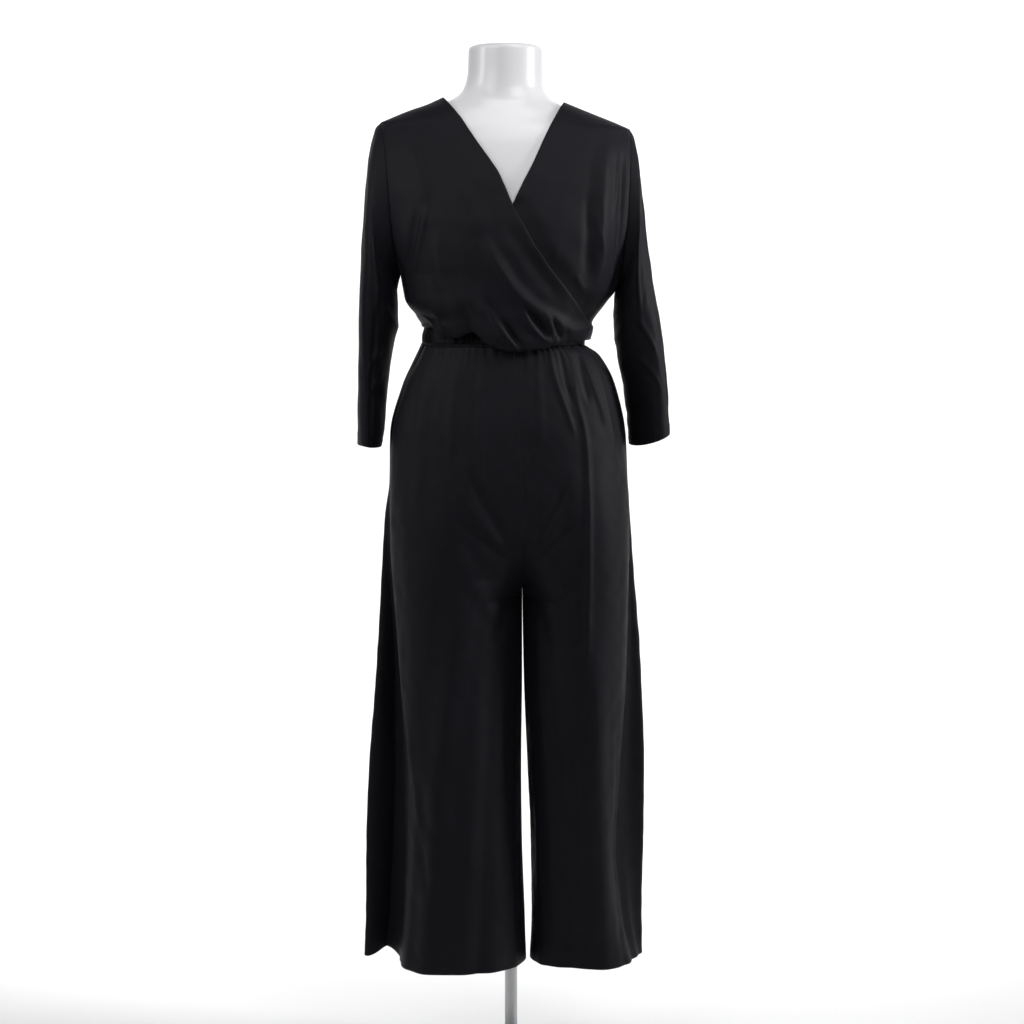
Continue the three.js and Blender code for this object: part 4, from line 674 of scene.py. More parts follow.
def ripples(a, b, size, seed, count=7):
    """Low even unevenness over a surface, from a few sine waves with fixed seeds."""
    chance = np.random.default_rng(seed)
    total = np.zeros_like(a)
    for _ in range(count):
        angle = chance.uniform(0, math.pi)
        length = size * chance.uniform(0.6, 1.7)
        phase = chance.uniform(0, 2 * math.pi)
        total += np.sin((a * math.cos(angle) + b * math.sin(angle)) * 2 * math.pi / length + phase)
    return total / math.sqrt(count)


# Meshes


def normals_of(points):
    """Directions square to a grid of points, from its rows and columns."""
    across = np.gradient(points, axis=1)
    down = np.gradient(points, axis=0)
    normal = np.cross(across, down)
    return normal / np.maximum(np.linalg.norm(normal, axis=-1, keepdims=True), 1e-9)


def facing_normals(points, facing, at=None):
    """Directions square to a grid, turned so that they face the front or the back."""
    normals = normals_of(points)
    column_normals = normals[:, points.shape[1] // 2, 1]
    facing_now = column_normals.mean() if at is None else column_normals[at]
    return normals if (facing_now > 0) == (facing > 0) else -normals


def tube_normals(points, rows=slice(None)):
    """Directions square to a tube of points, turned away from its middle as seen on some rows."""
    normals = normals_of(points)
    centre = points.mean(axis=1, keepdims=True)
    return -normals if ((points - centre) * normals)[rows].sum() < 0 else normals


@contextlib.contextmanager
def edited(mesh):
    """Opens a mesh for bmesh operators and writes it back."""
    shape = bmesh.new()
    shape.from_mesh(mesh)
    yield shape
    shape.to_mesh(mesh)
    shape.free()


def mesh_of(name, shape):
    """Ends a bmesh and gives its mesh."""
    mesh = bpy.data.meshes.new(name)
    shape.to_mesh(mesh)
    shape.free()
    return mesh


def grid_mesh(name, points, closed=False):
    """An object from a grid of points in millimetres, with its UV map in tenths of a metre."""
    rows, columns = points.shape[:2]
    shape = bmesh.new()
    bmesh.ops.create_grid(shape, x_segments=columns - 1, y_segments=rows - 1, size=1)
    shape.verts.ensure_lookup_table()
    flat = np.array([vert.co[:2] for vert in shape.verts])
    col = np.rint((flat[:, 0] + 1) / 2 * (columns - 1)).astype(int)
    row = np.rint((flat[:, 1] + 1) / 2 * (rows - 1)).astype(int)
    placed = points[row, col] * MM
    for vert, co in zip(shape.verts, placed):
        vert.co = co
    mesh = mesh_of(name, shape)
    loops = np.empty(len(mesh.loops), np.int32)
    mesh.loops.foreach_get("vertex_index", loops)
    layer = mesh.uv_layers.new(name="cloth")
    uv = surface_uv(points)[row, col] * MM * 10
    layer.data.foreach_set("uv", uv[loops].astype(np.float32).ravel())
    if closed:
        with edited(mesh) as shape:
            bmesh.ops.remove_doubles(shape, verts=shape.verts, dist=1e-6)
    return bpy.data.objects.new(name, mesh)


def surface_uv(points):
    """Distances along the middle row and the middle column, so that a pattern follows the cloth."""
    rows, columns = points.shape[:2]
    across = np.linalg.norm(np.diff(points[rows // 2], axis=0), axis=1)
    down = np.linalg.norm(np.diff(points[:, columns // 2], axis=0), axis=1)
    u = np.concatenate([[0], np.cumsum(across)])
    v = np.concatenate([[0], np.cumsum(down)])
    return np.stack(np.broadcast_arrays(u[None, :], v[:, None]), axis=-1)


def face_outwards(obj, outwards):
    """Turns a sheet's faces over if most of them face against the directions that outwards gives."""
    polygons = obj.data.polygons
    normals, centres = (np.empty(len(polygons) * 3, np.float32) for _ in range(2))
    polygons.foreach_get("normal", normals)
    polygons.foreach_get("center", centres)
    if (normals.reshape(-1, 3) * outwards(centres.reshape(-1, 3))).sum() < 0:
        with edited(obj.data) as shape:
            bmesh.ops.reverse_faces(shape, faces=shape.faces)


def finish_piece(obj, material, replaced=()):
    """Links a piece, smooths its faces, gives it its material and ties it to the model."""
    bpy.context.scene.collection.objects.link(obj)
    obj.data.materials.clear()
    obj.data.materials.append(material)
    obj.data.polygons.foreach_set("use_smooth", np.ones(len(obj.data.polygons), bool))
    obj.data.update()
    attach(obj, "root")
    if replaced:
        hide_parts(*replaced)
    return obj


def sew(obj, outwards):
    """Makes a sheet a wall of cloth with closed rims."""
    face_outwards(obj, outwards)
    wall = obj.modifiers.new("cloth", "SOLIDIFY")
    wall.thickness = bpy.context.scene.jumpsuit_cloth.thickness
    wall.offset = -1
    wall.use_rim = True
    return obj


def turned_edge(points, normals, start, depth, rounding=0.2, near=0.7):
    """Adds two columns at an edge: one close to it, so that its rounding stays narrow, and one that
    dives in behind it, as cloth does at a seam. Gives the points and their normals."""
    take, inner = (0, 1) if start else (-1, -2)
    edge, normal = points[:, take].copy(), normals[:, take]
    inward = points[:, inner] - edge
    length = np.maximum(np.linalg.norm(inward, axis=-1, keepdims=True), 1e-6)
    close = edge + inward * np.minimum(near / length, 0.5)
    dive, lowered = edge - normal * depth, edge - normal * rounding
    added = np.stack([dive, lowered, close] if start else [close, lowered, dive], axis=1)
    same = np.repeat(normal[:, None], 2, axis=1)
    if start:
        return np.concatenate([added, points[:, 1:]], axis=1), np.concatenate([same, normals], axis=1)
    return np.concatenate([points[:, :-1], added], axis=1), np.concatenate([normals, same], axis=1)


def turned_hem(points, normals, depth, steps=6, gap=1.7):
    """Adds rows that fold the last row's edge in and back up inside, as a turned-up hem."""
    edge, normal = points[-1], normals[-1]
    back = points[-4] - points[-1]
    back /= np.maximum(np.linalg.norm(back, axis=-1, keepdims=True), 1e-9)
    rows = [edge - normal * gap * 0.5 - back * 0.7]
    for i in range(steps + 1):
        rows.append(edge - normal * gap + back * (0.6 + (depth - 0.6) * i / steps))
    return np.concatenate([points, np.array(rows)], axis=0)


def turned_neck(points, normals, depth):
    """Folds in the last column, the wrap edge and the neckline, as a narrow hem."""
    flipped = turned_hem(points.transpose(1, 0, 2), normals.transpose(1, 0, 2), depth, steps=3, gap=1.5)
    extra = len(flipped) - points.shape[1]
    normals = np.concatenate([normals, np.repeat(normals[:, -1:], extra, axis=1)], axis=1)
    return flipped.transpose(1, 0, 2), normals


# Trousers


def crotch_angle(z):
    """How far the crotch's curve has turned at a height, from 0 at its top to a right angle."""
    return math.asin(min(max((CROTCH_CURVE_Z - z) / (CROTCH_CURVE_Z - CROTCH_Z), 0), 1))


def leg_value(side, name, z):
    """One measure of a leg at a height."""
    outline, depth = LEG_TABLES[side]
    return float(column(outline if name in outline[0] else depth, "z", name, z))


def front_fold(get, side, lobe, start, outermost):
    """The outer part of a front panel: round the side, into the hollow behind the front fold and
    out to where the front starts to turn. Gives its curves and their end."""
    wall = np.array([get("wall"), get("wall_y")])
    tuck = np.array([get("tuck"), get("tuck_y")])
    out = 0.4 * np.linalg.norm(tuck - outermost)
    into = 0.4 * np.linalg.norm(wall - tuck)
    slant = wall - outermost
    slant = slant / np.linalg.norm(slant)
    curves = []
    if lobe > 0.02:
        shoulder = start + np.array([side * 1.6 * lobe, -SEAM_BACK * 0.5 * lobe])
        curves.append(curve(start, shoulder, mix(shoulder, outermost, 0.6), outermost, 8))
    first = outermost - np.array([0, mix(out, 14, lobe)])
    tip = np.array([mix(tuck[0], outermost[0], 0.5), outermost[1] - 6])
    curves.append(curve(outermost, first, mix(tuck - slant * out, tip, lobe), tuck, 16))
    curves.append(curve(tuck, tuck + slant * into, wall + np.array([0, into]), wall, 12))
    return curves, wall


def inner_curve(middle, end):
    """From a panel's foremost point in to the inseam, or above the crotch to the centre seam."""
    across, reach = end[0] - middle[0], middle[1]
    inseam = np.array([end[0], INSEAM_Y])
    first = np.array([middle[0] + 0.55 * across, reach])
    second = inseam - np.array([0, 0.55 * (INSEAM_Y - reach)])
    shares = np.linspace(0, 1, 120)
    round_leg = bezier(middle, first, second, inseam, shares[:, None])
    sunk = (end[1] - reach) / (INSEAM_Y - reach)
    if sunk < 0.002:
        return np.linspace(middle, end, 30, endpoint=False)
    if sunk >= 1:
        return round_leg[:-1]
    cut = float(np.interp(sunk, (round_leg[:, 1] - reach) / (INSEAM_Y - reach), shares))
    part = curve(middle, first, second, inseam, 40, cut)
    reached = float(bezier(middle[0], first[0], second[0], inseam[0], cut))
    part[:, 0] = middle[0] + (part[:, 0] - middle[0]) * across / (reached - middle[0])
    return part


def leg_line(side, facing, z):
    """The line of one trouser panel at a height, from the side seam to the centre seam or inseam."""
    def get(name):
        return leg_value(side, name, z)

    depth_name = "front" if facing < 0 else "back"
    lobe = float(smooth(LOBE_TOP_Z - z, 0, LOBE_TOP_Z - CROTCH_Z))
    roundness = mix(CASING_ROUNDNESS, BODY_ROUNDNESS, min(max((TROUSER_TOP_Z - z) / 60, 0), 1))
    outermost = np.array([get("side"), get("side_y")])
    start = outermost + np.array([-side * 1.5 * lobe, SEAM_BACK * lobe])
    middle = np.array([get("middle"), get(depth_name)])
    centre_depth = (leg_value(-1, depth_name, z) + leg_value(1, depth_name, z)) / 2
    end = np.array([get("inner") + side * 0.04, mix(centre_depth, INSEAM_Y, 1 - math.cos(crotch_angle(z)))])
    if facing < 0:
        curves, wall = front_fold(get, side, lobe, start, outermost)
    else:
        wall = np.array([mix(outermost[0], middle[0], 0.02), start[1] + 16])
        away = np.array([0, 6])
        curves = [curve(start, start + away, wall - away, wall, 6)]
    turn = np.linspace(0, math.pi / 2, 40, endpoint=False)
    exponent = 2 / roundness
    curves.append(np.stack([
        middle[0] + (wall[0] - middle[0]) * np.cos(turn) ** exponent,
        wall[1] + (middle[1] - wall[1]) * np.sin(turn) ** exponent,
    ], axis=-1))
    if abs(end[0] - middle[0]) > 1:
        curves.append(inner_curve(middle, end))
    curves.append(end[None, :])
    return np.concatenate(curves)


def leg_heights():
    """Heights of a panel's rows: even ones, and closer ones round the curve of the crotch."""
    even = np.linspace(TROUSER_TOP_Z, HEM_Z, LEG_ROWS + 1)
    bend = CROTCH_CURVE_Z - (CROTCH_CURVE_Z - CROTCH_Z) * np.sin(np.linspace(0, math.pi / 2, 30))
    apart = even[(even > CROTCH_CURVE_Z + 1) | (even < CROTCH_Z - 1)]
    return np.sort(np.concatenate([apart, bend]))[::-1]


def falling_folds(folds, along, length, z):
    """Height of the folds that fall to the hem, by the distance from the side seam."""
    total = np.zeros_like(along)
    for fold in folds:
        down = (fold["top"] - z) / (fold["top"] - HEM_Z)
        centre = mix(fold["at"], fold["foot"], np.clip(down, 0, 1))
        fade = smooth(down, 0, 0.4)
        total += fold["rise"] * fade * crest(along - centre * length, fold["width"], 0.25)
    return total


def waist_gathers(share, length, z, seed):
    """Small gathers that leave the waist seam and die out on the hip."""
    chance = np.random.default_rng(seed)
    count = bpy.context.scene.jumpsuit_cloth.gathers
    total = np.zeros_like(share)
    for i in range(count):
        at = (i + 0.5 + chance.uniform(-0.3, 0.3)) / count
        reach = chance.uniform(26, 90)
        spread = at + (0.5 - at) * -0.05
        height = chance.uniform(0.5, 1.7)
        down = np.clip((TROUSER_TOP_Z - z) / reach, 0, 1)
        centre = mix(at, spread, down)
        width = length / count * mix(0.55, 1.1, down)
        total += height * (1 - down) ** 1.3 * crest((share - centre) * length, width, 0.3)
    return total


def trouser_panel(side, facing):
    """Points of one trouser panel with its folds, hem and turned edges."""
    cloth = bpy.context.scene.jumpsuit_cloth
    side_name = SIDE_NAMES[side]
    heights = leg_heights()
    shares = np.linspace(0, 1, LEG_COLUMNS + 1) ** (1.15 if facing < 0 else 1.0)
    rows, lengths = [], []
    for height in heights:
        line = leg_line(side, facing, height)
        lengths.append(np.linalg.norm(np.diff(line, axis=0), axis=1).sum())
        rows.append(arc_points(line, shares))
    flat = np.array(rows)
    z = np.broadcast_to(heights[:, None], flat.shape[:2])
    points = np.concatenate([flat, z[..., None]], axis=-1)
    share = np.broadcast_to(shares[None, :], z.shape)
    length = np.array(lengths)[:, None] * np.ones_like(z)
    full = float(np.interp(-CROTCH_Z, -heights, lengths))
    leg_length = np.where(z > CROTCH_Z, full, length)
    normals = facing_normals(points, facing)
    normals[..., 2] *= 0.3
    normals /= np.linalg.norm(normals, axis=-1, keepdims=True)

    rise = falling_folds(FALLING_FOLDS[(side_name, facing)], share * length, leg_length, z)
    rise += waist_gathers(share, length, z, seed=3 + 2 * side + facing)
    if facing < 0:
        in_front = smooth(-points[..., 1], -4, 24)
        rise += line_folds(TROUSER_FRONT_FOLDS[side_name], points[..., 0], points[..., 2]) * in_front
    down = TROUSER_TOP_Z - z
    drape = ripples(share * length, z * 0.16, 60, seed=21 + 5 * side + facing)
    rise += 0.7 * drape * smooth(down, 30, 260)
    rise += 0.22 * ripples(share * length, z, 34, seed=40 + side + 2 * facing) * smooth(down, 0, 60)
    rise *= smooth(np.minimum(share, 1 - share) * length, 0, 16) * cloth.folds
    hem_depth = cloth.hem / MM
    rise += HEM_STEP * smooth(hem_depth - (z - HEM_Z), -0.5, 1.5)
    points = points + normals * rise[..., None]
    if facing < 0:
        hollow = CROTCH_HOLLOW
        above = z - hollow["z"]
        away = np.hypot(points[..., 0] - hollow["x"], np.where(above > 0, above * 1.15, -above * 0.5))
        drawn_in = hollow["depth"] * cloth.folds * crest(away, hollow["radius"], 0.15)
        points[..., 1] += drawn_in * smooth(-points[..., 1], 12, 60)
    if side < 0 and facing < 0:
        notch = HEM_NOTCH
        away = np.clip((share - notch["at"]) / notch["width"], -1, 1)
        lift = notch["rise"] * (0.5 + 0.5 * np.cos(away * math.pi))
        points[..., 2] += lift * np.clip((notch["top"] - z) / (notch["top"] - HEM_Z), 0, 1)

    normals = facing_normals(points, facing)
    points = turned_hem(points, normals, hem_depth - 2)
    normals = np.concatenate([normals, np.repeat(normals[-1:], len(points) - len(normals), axis=0)])
    points, normals = turned_edge(points, normals, True, cloth.turning / MM)
    return turned_edge(points, normals, False, cloth.turning / MM)[0]


# Bodice


def edge_x(side, z):
    edge, shoulder = (RIGHT_EDGE, RIGHT_SHOULDER) if side < 0 else (LEFT_EDGE, LEFT_SHOULDER)
    return np.where(z <= ARMHOLES[side][1], column(edge, "z", "x", z), column(shoulder, "z", "x", z))


def armhole_depth(side, z):
    bottom, top = ARMHOLES[side]
    t = np.clip((z - (bottom + top) / 2) / ((top - bottom) / 2), -1, 1)
    return ARMHOLE_DEPTH * np.sqrt(1 - t * t)


def body_depth(x, z, facing):
    """How far the bodice stands from the side plane at a place seen from the front."""
    right, left = edge_x(-1, z), edge_x(1, z)
    centre = (right + left) / 2
    is_right = x < centre
    edge = np.where(is_right, right, left)
    s = np.abs((x - centre) / (edge - centre))
    depth = column(BODICE_DEPTH, "z", "front" if facing < 0 else "back", z)
    hole = np.where(is_right, armhole_depth(-1, z), armhole_depth(1, z))
    share = 1 - (hole / depth) ** BODY_ROUNDNESS
    inside = np.maximum(0, 1 - share * s**BODY_ROUNDNESS)
    return facing * depth * inside ** (1 / BODY_ROUNDNESS)


def body_points(x, z, facing):
    return np.stack([x, MID_Y + body_depth(x, z, facing), z], axis=-1)


def droop(x, facing):
    return column(DROOP[facing], "x", "drop", x)


def start_z(x, facing):
    return SIDE_START_Z[-1] - 1.05 * droop(x, facing)


def casing_points(dx, dy, inset):
    """Outline of the waist casing in plan, taken in by an amount."""
    width = np.where(dx < 0, CASING_HALF["right"], CASING_HALF["left"])
    depth = np.where(dy < 0, CASING_HALF["front"], CASING_HALF["back"])
    total = np.abs(dx / width) ** CASING_ROUNDNESS + np.abs(dy / depth) ** CASING_ROUNDNESS
    scale = total ** (-1 / CASING_ROUNDNESS) - inset / np.hypot(dx, dy)
    return dx * scale, MID_Y + dy * scale


def roll_points(x, facing, turn):
    """A row of the blouson's rolled edge: turn runs from 0 where it leaves the bodice to 1 at the seam."""
    z = start_z(x, facing)
    start = body_points(x, z, facing)
    dx, dy = start[:, 0], start[:, 1] - MID_Y
    seam_x, seam_y = casing_points(dx, dy, 4)
    drop = droop(x, facing)
    full = np.clip(drop / 30, 0, 1)
    share = mix(0.15, 0.6, np.clip(3 * full, 0, 1))
    low_z = BODICE_SEAM_Z + 6 * (1 - full) ** 3 - drop
    low = np.stack([mix(seam_x, start[:, 0], share), mix(seam_y, start[:, 1], share), low_z], axis=-1)
    if turn < 0.5:
        radial_x, radial_y = (start[:, :2] - low[:, :2]).T
        slack = 0.45 * (z - low_z)
        drawn, bulge = 0.3 * (1 - full), 0.75 * full
        first = np.stack([start[:, 0] - radial_x * drawn, start[:, 1] - radial_y * drawn, z - slack], axis=-1)
        second = np.stack([low[:, 0] + radial_x * bulge, low[:, 1] + radial_y * bulge,
                           low_z + 3 * (1 - full)], axis=-1)
        return bezier(start, first, second, low, turn * 2)
    rim_x, rim_y = casing_points(dx, dy, mix(2.8, -RIM_CLEARANCE, np.clip(4 * full, 0, 1)))
    rim = np.stack([rim_x, rim_y, np.full_like(rim_x, BODICE_SEAM_Z + RIM_LIFT)], axis=-1)
    climb = (turn - 0.5) / (RIM_TURN - 0.5)
    if climb > 1:
        seam = np.stack([seam_x, seam_y, np.full_like(seam_x, BODICE_SEAM_Z)], axis=-1)
        return mix(rim, seam, (turn - RIM_TURN) / (1 - RIM_TURN))
    first = np.stack([mix(low[:, 0], rim_x, 0.5), mix(low[:, 1], rim_y, 0.5),
                      mix(low_z, rim[:, 2], 0.08)], axis=-1)
    second = np.stack([rim_x, rim_y, mix(low_z, rim[:, 2], 0.7)], axis=-1)
    return bezier(low, first, second, rim, climb)


def side_heights(side):
    """Heights of a side's rows: side seam first, then even angles of the armhole."""
    bottom, top = ARMHOLES[side]
    seam = mix(SIDE_START_Z[side], bottom, np.arange(SIDE_STEPS) / SIDE_STEPS)
    angle = np.arange(ARMHOLE_STEPS + 1) / ARMHOLE_STEPS * math.pi
    hole = (bottom + top) / 2 - (top - bottom) / 2 * np.cos(angle)
    return np.concatenate([seam, hole])


def crowded(v):
    return 1 - (1 - v) ** TOP_CROWDING


def front_grid(side, edge_table):
    """Places of a front's points seen from the front, from the side seam to the wrap edge."""
    heights = side_heights(side)
    v = np.linspace(0, 1, len(heights))
    edge = arc_points([(row["x"], row["z"]) for row in edge_table], crowded(v))
    u = np.linspace(0, 1, FRONT_COLUMNS + 1)
    start_x = edge_x(side, heights)
    x = mix(start_x[:, None], edge[:, :1], u)
    z = mix(heights[:, None], edge[:, 1:], u)
    low_x = mix(float(edge_x(side, heights[0])), edge[0, 0], u)
    slack = start_z(low_x, -1) - mix(heights[0], edge[0, 1], u)
    kept = np.ones_like(x)
    kept[1:, 0] = 0
    return x, z + slack[None, :] * (1 - v[:, None]) ** 3 * kept


def back_grid():
    right, left = side_heights(-1), side_heights(1)
    v = crowded(np.linspace(0, 1, len(right)))[:, None]
    u = np.linspace(0, 1, BACK_COLUMNS + 1)
    shoulder = 0.27
    right_tip, right_neck = RIGHT_SHOULDER[0], RIGHT_SHOULDER[3]
    left_tip, left_neck = LEFT_SHOULDER[0], LEFT_SHOULDER[3]
    across = np.clip((u - shoulder) / (1 - 2 * shoulder), 0, 1)
    top_x = np.where(u <= shoulder, mix(right_tip["x"], right_neck["x"], u / shoulder), 0)
    top_x = np.where(u >= 1 - shoulder, mix(left_tip["x"], left_neck["x"], (1 - u) / shoulder), top_x)
    between = (u > shoulder) & (u < 1 - shoulder)
    top_x = np.where(between, mix(right_neck["x"], left_neck["x"], across), top_x)
    neck_z = mix(right_neck["z"], left_neck["z"], across) - BACK_NECK_DROP * (1 - (2 * across - 1) ** 4)
    top_z = np.where(u <= shoulder, column(RIGHT_SHOULDER, "x", "z", top_x), neck_z)
    top_z = np.where(u >= 1 - shoulder, column(LEFT_SHOULDER, "x", "z", top_x), top_z)
    low_right, low_left = float(edge_x(-1, right[0])), float(edge_x(1, left[0]))
    low = mix(low_right, low_left, u)
    x = mix(low, top_x, v) + (1 - u) * (edge_x(-1, right)[:, None] - mix(low_right, right_tip["x"], v))
    x = x + u * (edge_x(1, left)[:, None] - mix(low_left, left_tip["x"], v))
    z = mix(start_z(low, 1), top_z, v) + (1 - u) * (right[:, None] - mix(right[0], right_tip["z"], v))
    z = z + u * (left[:, None] - mix(left[0], left_tip["z"], v))
    return x, z


def covered(x, z):
    return 1 - smooth(x - column(OVERLAP_EDGE, "z", "x", z), 3, 34)


def bodice_piece(x, z, facing, rise_at):
    """A bodice piece from the places of its points: the rolled edge first, then the body."""
    turns = np.linspace(1, 0, ROLL_STEPS, endpoint=False)
    rolled = np.array([roll_points(x[0], facing, turn) for turn in turns])
    points = np.concatenate([rolled, body_points(x, z, facing)])
    normals = facing_normals(points, facing, at=len(turns) + len(x) // 2)
    place_x = np.concatenate([np.repeat(x[:1], len(turns), axis=0), x])
    whole = np.ones_like(place_x)
    roll_share = np.concatenate([turns, np.zeros(len(x))])[:, None] * whole
    up = np.concatenate([np.zeros(len(turns)), np.linspace(0, 1, len(x))])[:, None] * whole
    across = np.linspace(0, 1, points.shape[1])[None, :] * whole
    rise = rise_at(place_x, points[..., 2], across, up, roll_share)
    return points + normals * rise[..., None], normals


def edge_fade(up, roll_share):
    return smooth(1 - up, 0, 0.07) * np.clip(1 - 1.25 * roll_share, 0, 1)


def roll_gathers(x, roll_share, up, seed, amount):
    """Fine gathers where the blouson is drawn in to the waist seam."""
    chance = np.random.default_rng(seed)
    total = np.zeros_like(x)
    for centre in np.arange(-136, 134, 8.5):
        at = centre + chance.uniform(-2.5, 2.5)
        reach = chance.uniform(0.10, 0.30)
        height = chance.uniform(0.4, 1.3)
        lift = np.clip(1 - up / reach, 0, 1) ** 1.5
        total += amount * height * lift * crest(x - at, 5.5, 0.3)
    return total * smooth(1 - roll_share, 0, 0.3)


def overlap_piece():
    cloth = bpy.context.scene.jumpsuit_cloth
    x, z = front_grid(-1, OVERLAP_EDGE)

    def rise_at(px, pz, u, up, roll_share):
        folds = line_folds(OVERLAP_FOLDS, px, pz) + roll_gathers(px, roll_share, up, 5, 0.8)
        folds += 0.35 * ripples(px, pz, 46, seed=61) * smooth(u, 0, 0.1)
        fade = edge_fade(up, roll_share) * smooth(u, 0, 0.07)
        return cloth.folds * folds * fade

    return bodice_piece(x, z, -1, rise_at)


def underlap_piece():
    cloth = bpy.context.scene.jumpsuit_cloth
    x, z = front_grid(1, UNDERLAP_EDGE)

    def rise_at(px, pz, u, up, roll_share):
        folds = line_folds(UNDERLAP_FOLDS, px, pz) + roll_gathers(px, roll_share, up, 9, 0.5)
        folds += 0.35 * ripples(px, pz, 46, seed=67) * smooth(u, 0, 0.1)
        shown = 1 - covered(px, pz)
        fade = edge_fade(up, roll_share) * smooth(u, 0, 0.07) * np.maximum(shown, smooth(pz, 1300, 1330))
        under = line_folds(OVERLAP_FOLDS, px, pz) * edge_fade(up, roll_share) * (1 - shown)
        lap = 3.6 - 0.6 * roll_share * np.clip(droop(px, -1) / 20, 0, 1)
        hidden = np.minimum(under, 0) - lap * covered(px, pz) * smooth(u, 0, 0.08)
        return cloth.folds * folds * fade + hidden * smooth(1330 - pz, 0, 14)

    return bodice_piece(x, z, -1, rise_at)


def back_piece():
    cloth = bpy.context.scene.jumpsuit_cloth
    x, z = back_grid()

    def rise_at(px, pz, u, up, roll_share):
        folds = line_folds(BACK_FOLDS, px, pz) + roll_gathers(px, roll_share, up, 15, 1.0)
        folds += 0.35 * ripples(px, pz, 50, seed=71)
        return cloth.folds * folds * edge_fade(up, roll_share) * smooth(np.minimum(u, 1 - u), 0, 0.05)

    return bodice_piece(x, z, 1, rise_at)


# Sleeves


def sleeve_surface(side, angle, v):
    bottom, top = ARMHOLES[side]
    outer = arc_points(SLEEVE_OUTER[side], v)
    inner = arc_points(SLEEVE_INNER[side], v)
    cosine, sine = np.cos(angle), np.sin(angle)
    round_share = (cosine + 1) / 2
    depth = mix(ARMHOLE_DEPTH, CUFF_DEPTH[side], v)
    head_z = (bottom + top) / 2 + (top - bottom) / 2 * cosine
    head_x = edge_x(side, head_z) - mix(SLEEVE_INNER[side][0][0], SLEEVE_OUTER[side][0][0], round_share)
    x = mix(inner[..., 0], outer[..., 0], round_share) + head_x * (1 - v) ** 4
    lean = SLEEVE_LEAN[side] * side * sine * depth * smooth(v, 0.25, 0.8)
    clear = side * UNDERARM_CLEARANCE * sine * sine * smooth(v, 0, 0.05) * (1 - v) ** 0.5
    z = mix(inner[..., 1], outer[..., 1], round_share)
    return np.stack([x - lean + clear, MID_Y - sine * depth, z], axis=-1)


def sleeve_rise(side, angle, v):
    """Height of a sleeve's folds, by the angle round it and the share of the way to the cuff."""
    total = np.zeros_like(v)
    for fold in SLEEVE_FOLDS[side]:
        t = (v - fold["start"]) / (fold["end"] - fold["start"])
        centre = np.radians(fold["angle"] + fold["turn"] * np.clip(t, 0, 1))
        away = (angle - centre + math.pi) % (2 * math.pi) - math.pi
        fade = smooth(t, 0, 0.25) * smooth(1 - t, 0, 0.35)
        total += fold["rise"] * fade * crest(away * SLEEVE_RADIUS, fold["width"], fold["crease"])
    total += 0.35 * ripples(SLEEVE_RADIUS * np.sin(angle), 470 * v + 20 * np.cos(angle), 60, seed=80 + side)
    return total * smooth(v, 0, 0.05)


def sleeve_piece(side):
    """Points of one sleeve from its turned-in head to the inside of its cuff."""
    cloth = bpy.context.scene.jumpsuit_cloth
    count = 2 * ARMHOLE_STEPS
    angle, v = np.meshgrid(np.arange(count + 1) / count * 2 * math.pi, np.linspace(0, 1, SLEEVE_ROWS + 1))
    points = sleeve_surface(side, angle, v)
    normals = tube_normals(points)
    rise = sleeve_rise(side, angle, v) * cloth.folds
    cuff_start = SLEEVE_LENGTH - cloth.cuff / MM
    rise += HEM_STEP * smooth(v * SLEEVE_LENGTH, cuff_start - 0.5, cuff_start + 1.5)
    points = points + normals * rise[..., None]
    points[:, -1] = points[:, 0]
    normals[:, 0] = normals[:, 0] + normals[:, -1]
    normals[:, 0] /= np.linalg.norm(normals[:, 0], axis=-1, keepdims=True)
    normals[:, -1] = normals[:, 0]
    points = turned_hem(points, normals, cloth.cuff / MM - 2)
    head = points[0] - normals[0] * cloth.turning / MM
    points[0] -= normals[0] * SEAM_DIP
    return np.concatenate([head[None], points])


# Materials


def new_material(name):
    """A material with its node tree and its shader."""
    material = bpy.data.materials.new(name)
    material.use_nodes = True
    return material, material.node_tree, material.node_tree.nodes["Principled BSDF"]


def connect(tree, node, inputs):
    """Sets a node's sockets: one that is given another node's output is linked to it."""
    for socket, value in inputs.items():
        if isinstance(value, bpy.types.NodeSocket):
            tree.links.new(value, node.inputs[socket])
        else:
            node.inputs[socket].default_value = value


def add_node(tree, kind, output, inputs, **settings):
    """Adds a shader node and gives one of its outputs."""
    node = tree.nodes.new(f"ShaderNode{kind}")
    for name, value in settings.items():
        setattr(node, name, value)
    connect(tree, node, inputs)
    return node.outputs[output]


def blended(tree, share, first, second):
    """A colour between two."""
    colours = {"Factor": share, "A": (*first, 1), "B": (*second, 1)}
    return add_node(tree, "Mix", "Result", colours, data_type="RGBA")


def noise(tree, place, scale, detail=2):
    """Soft unevenness over a surface."""
    return add_node(tree, "TexNoise", "Fac", {"Vector": place, "Scale": scale, "Detail": detail})


def ranged(tree, value, low, high):
    """A value from 0 to 1 spread over another range."""
    return add_node(tree, "MapRange", "Result", {"Value": value, "To Min": low, "To Max": high})


def bumped(tree, height, strength, distance):
    """The small relief that a value gives a surface."""
    inputs = {"Height": height, "Strength": strength, "Distance": distance}
    return add_node(tree, "Bump", "Normal", inputs)


def shades(colour, darker, lighter):
    """A colour made a little darker and a little lighter."""
    return [c * darker for c in colour], [min(c * lighter, 1) for c in colour]


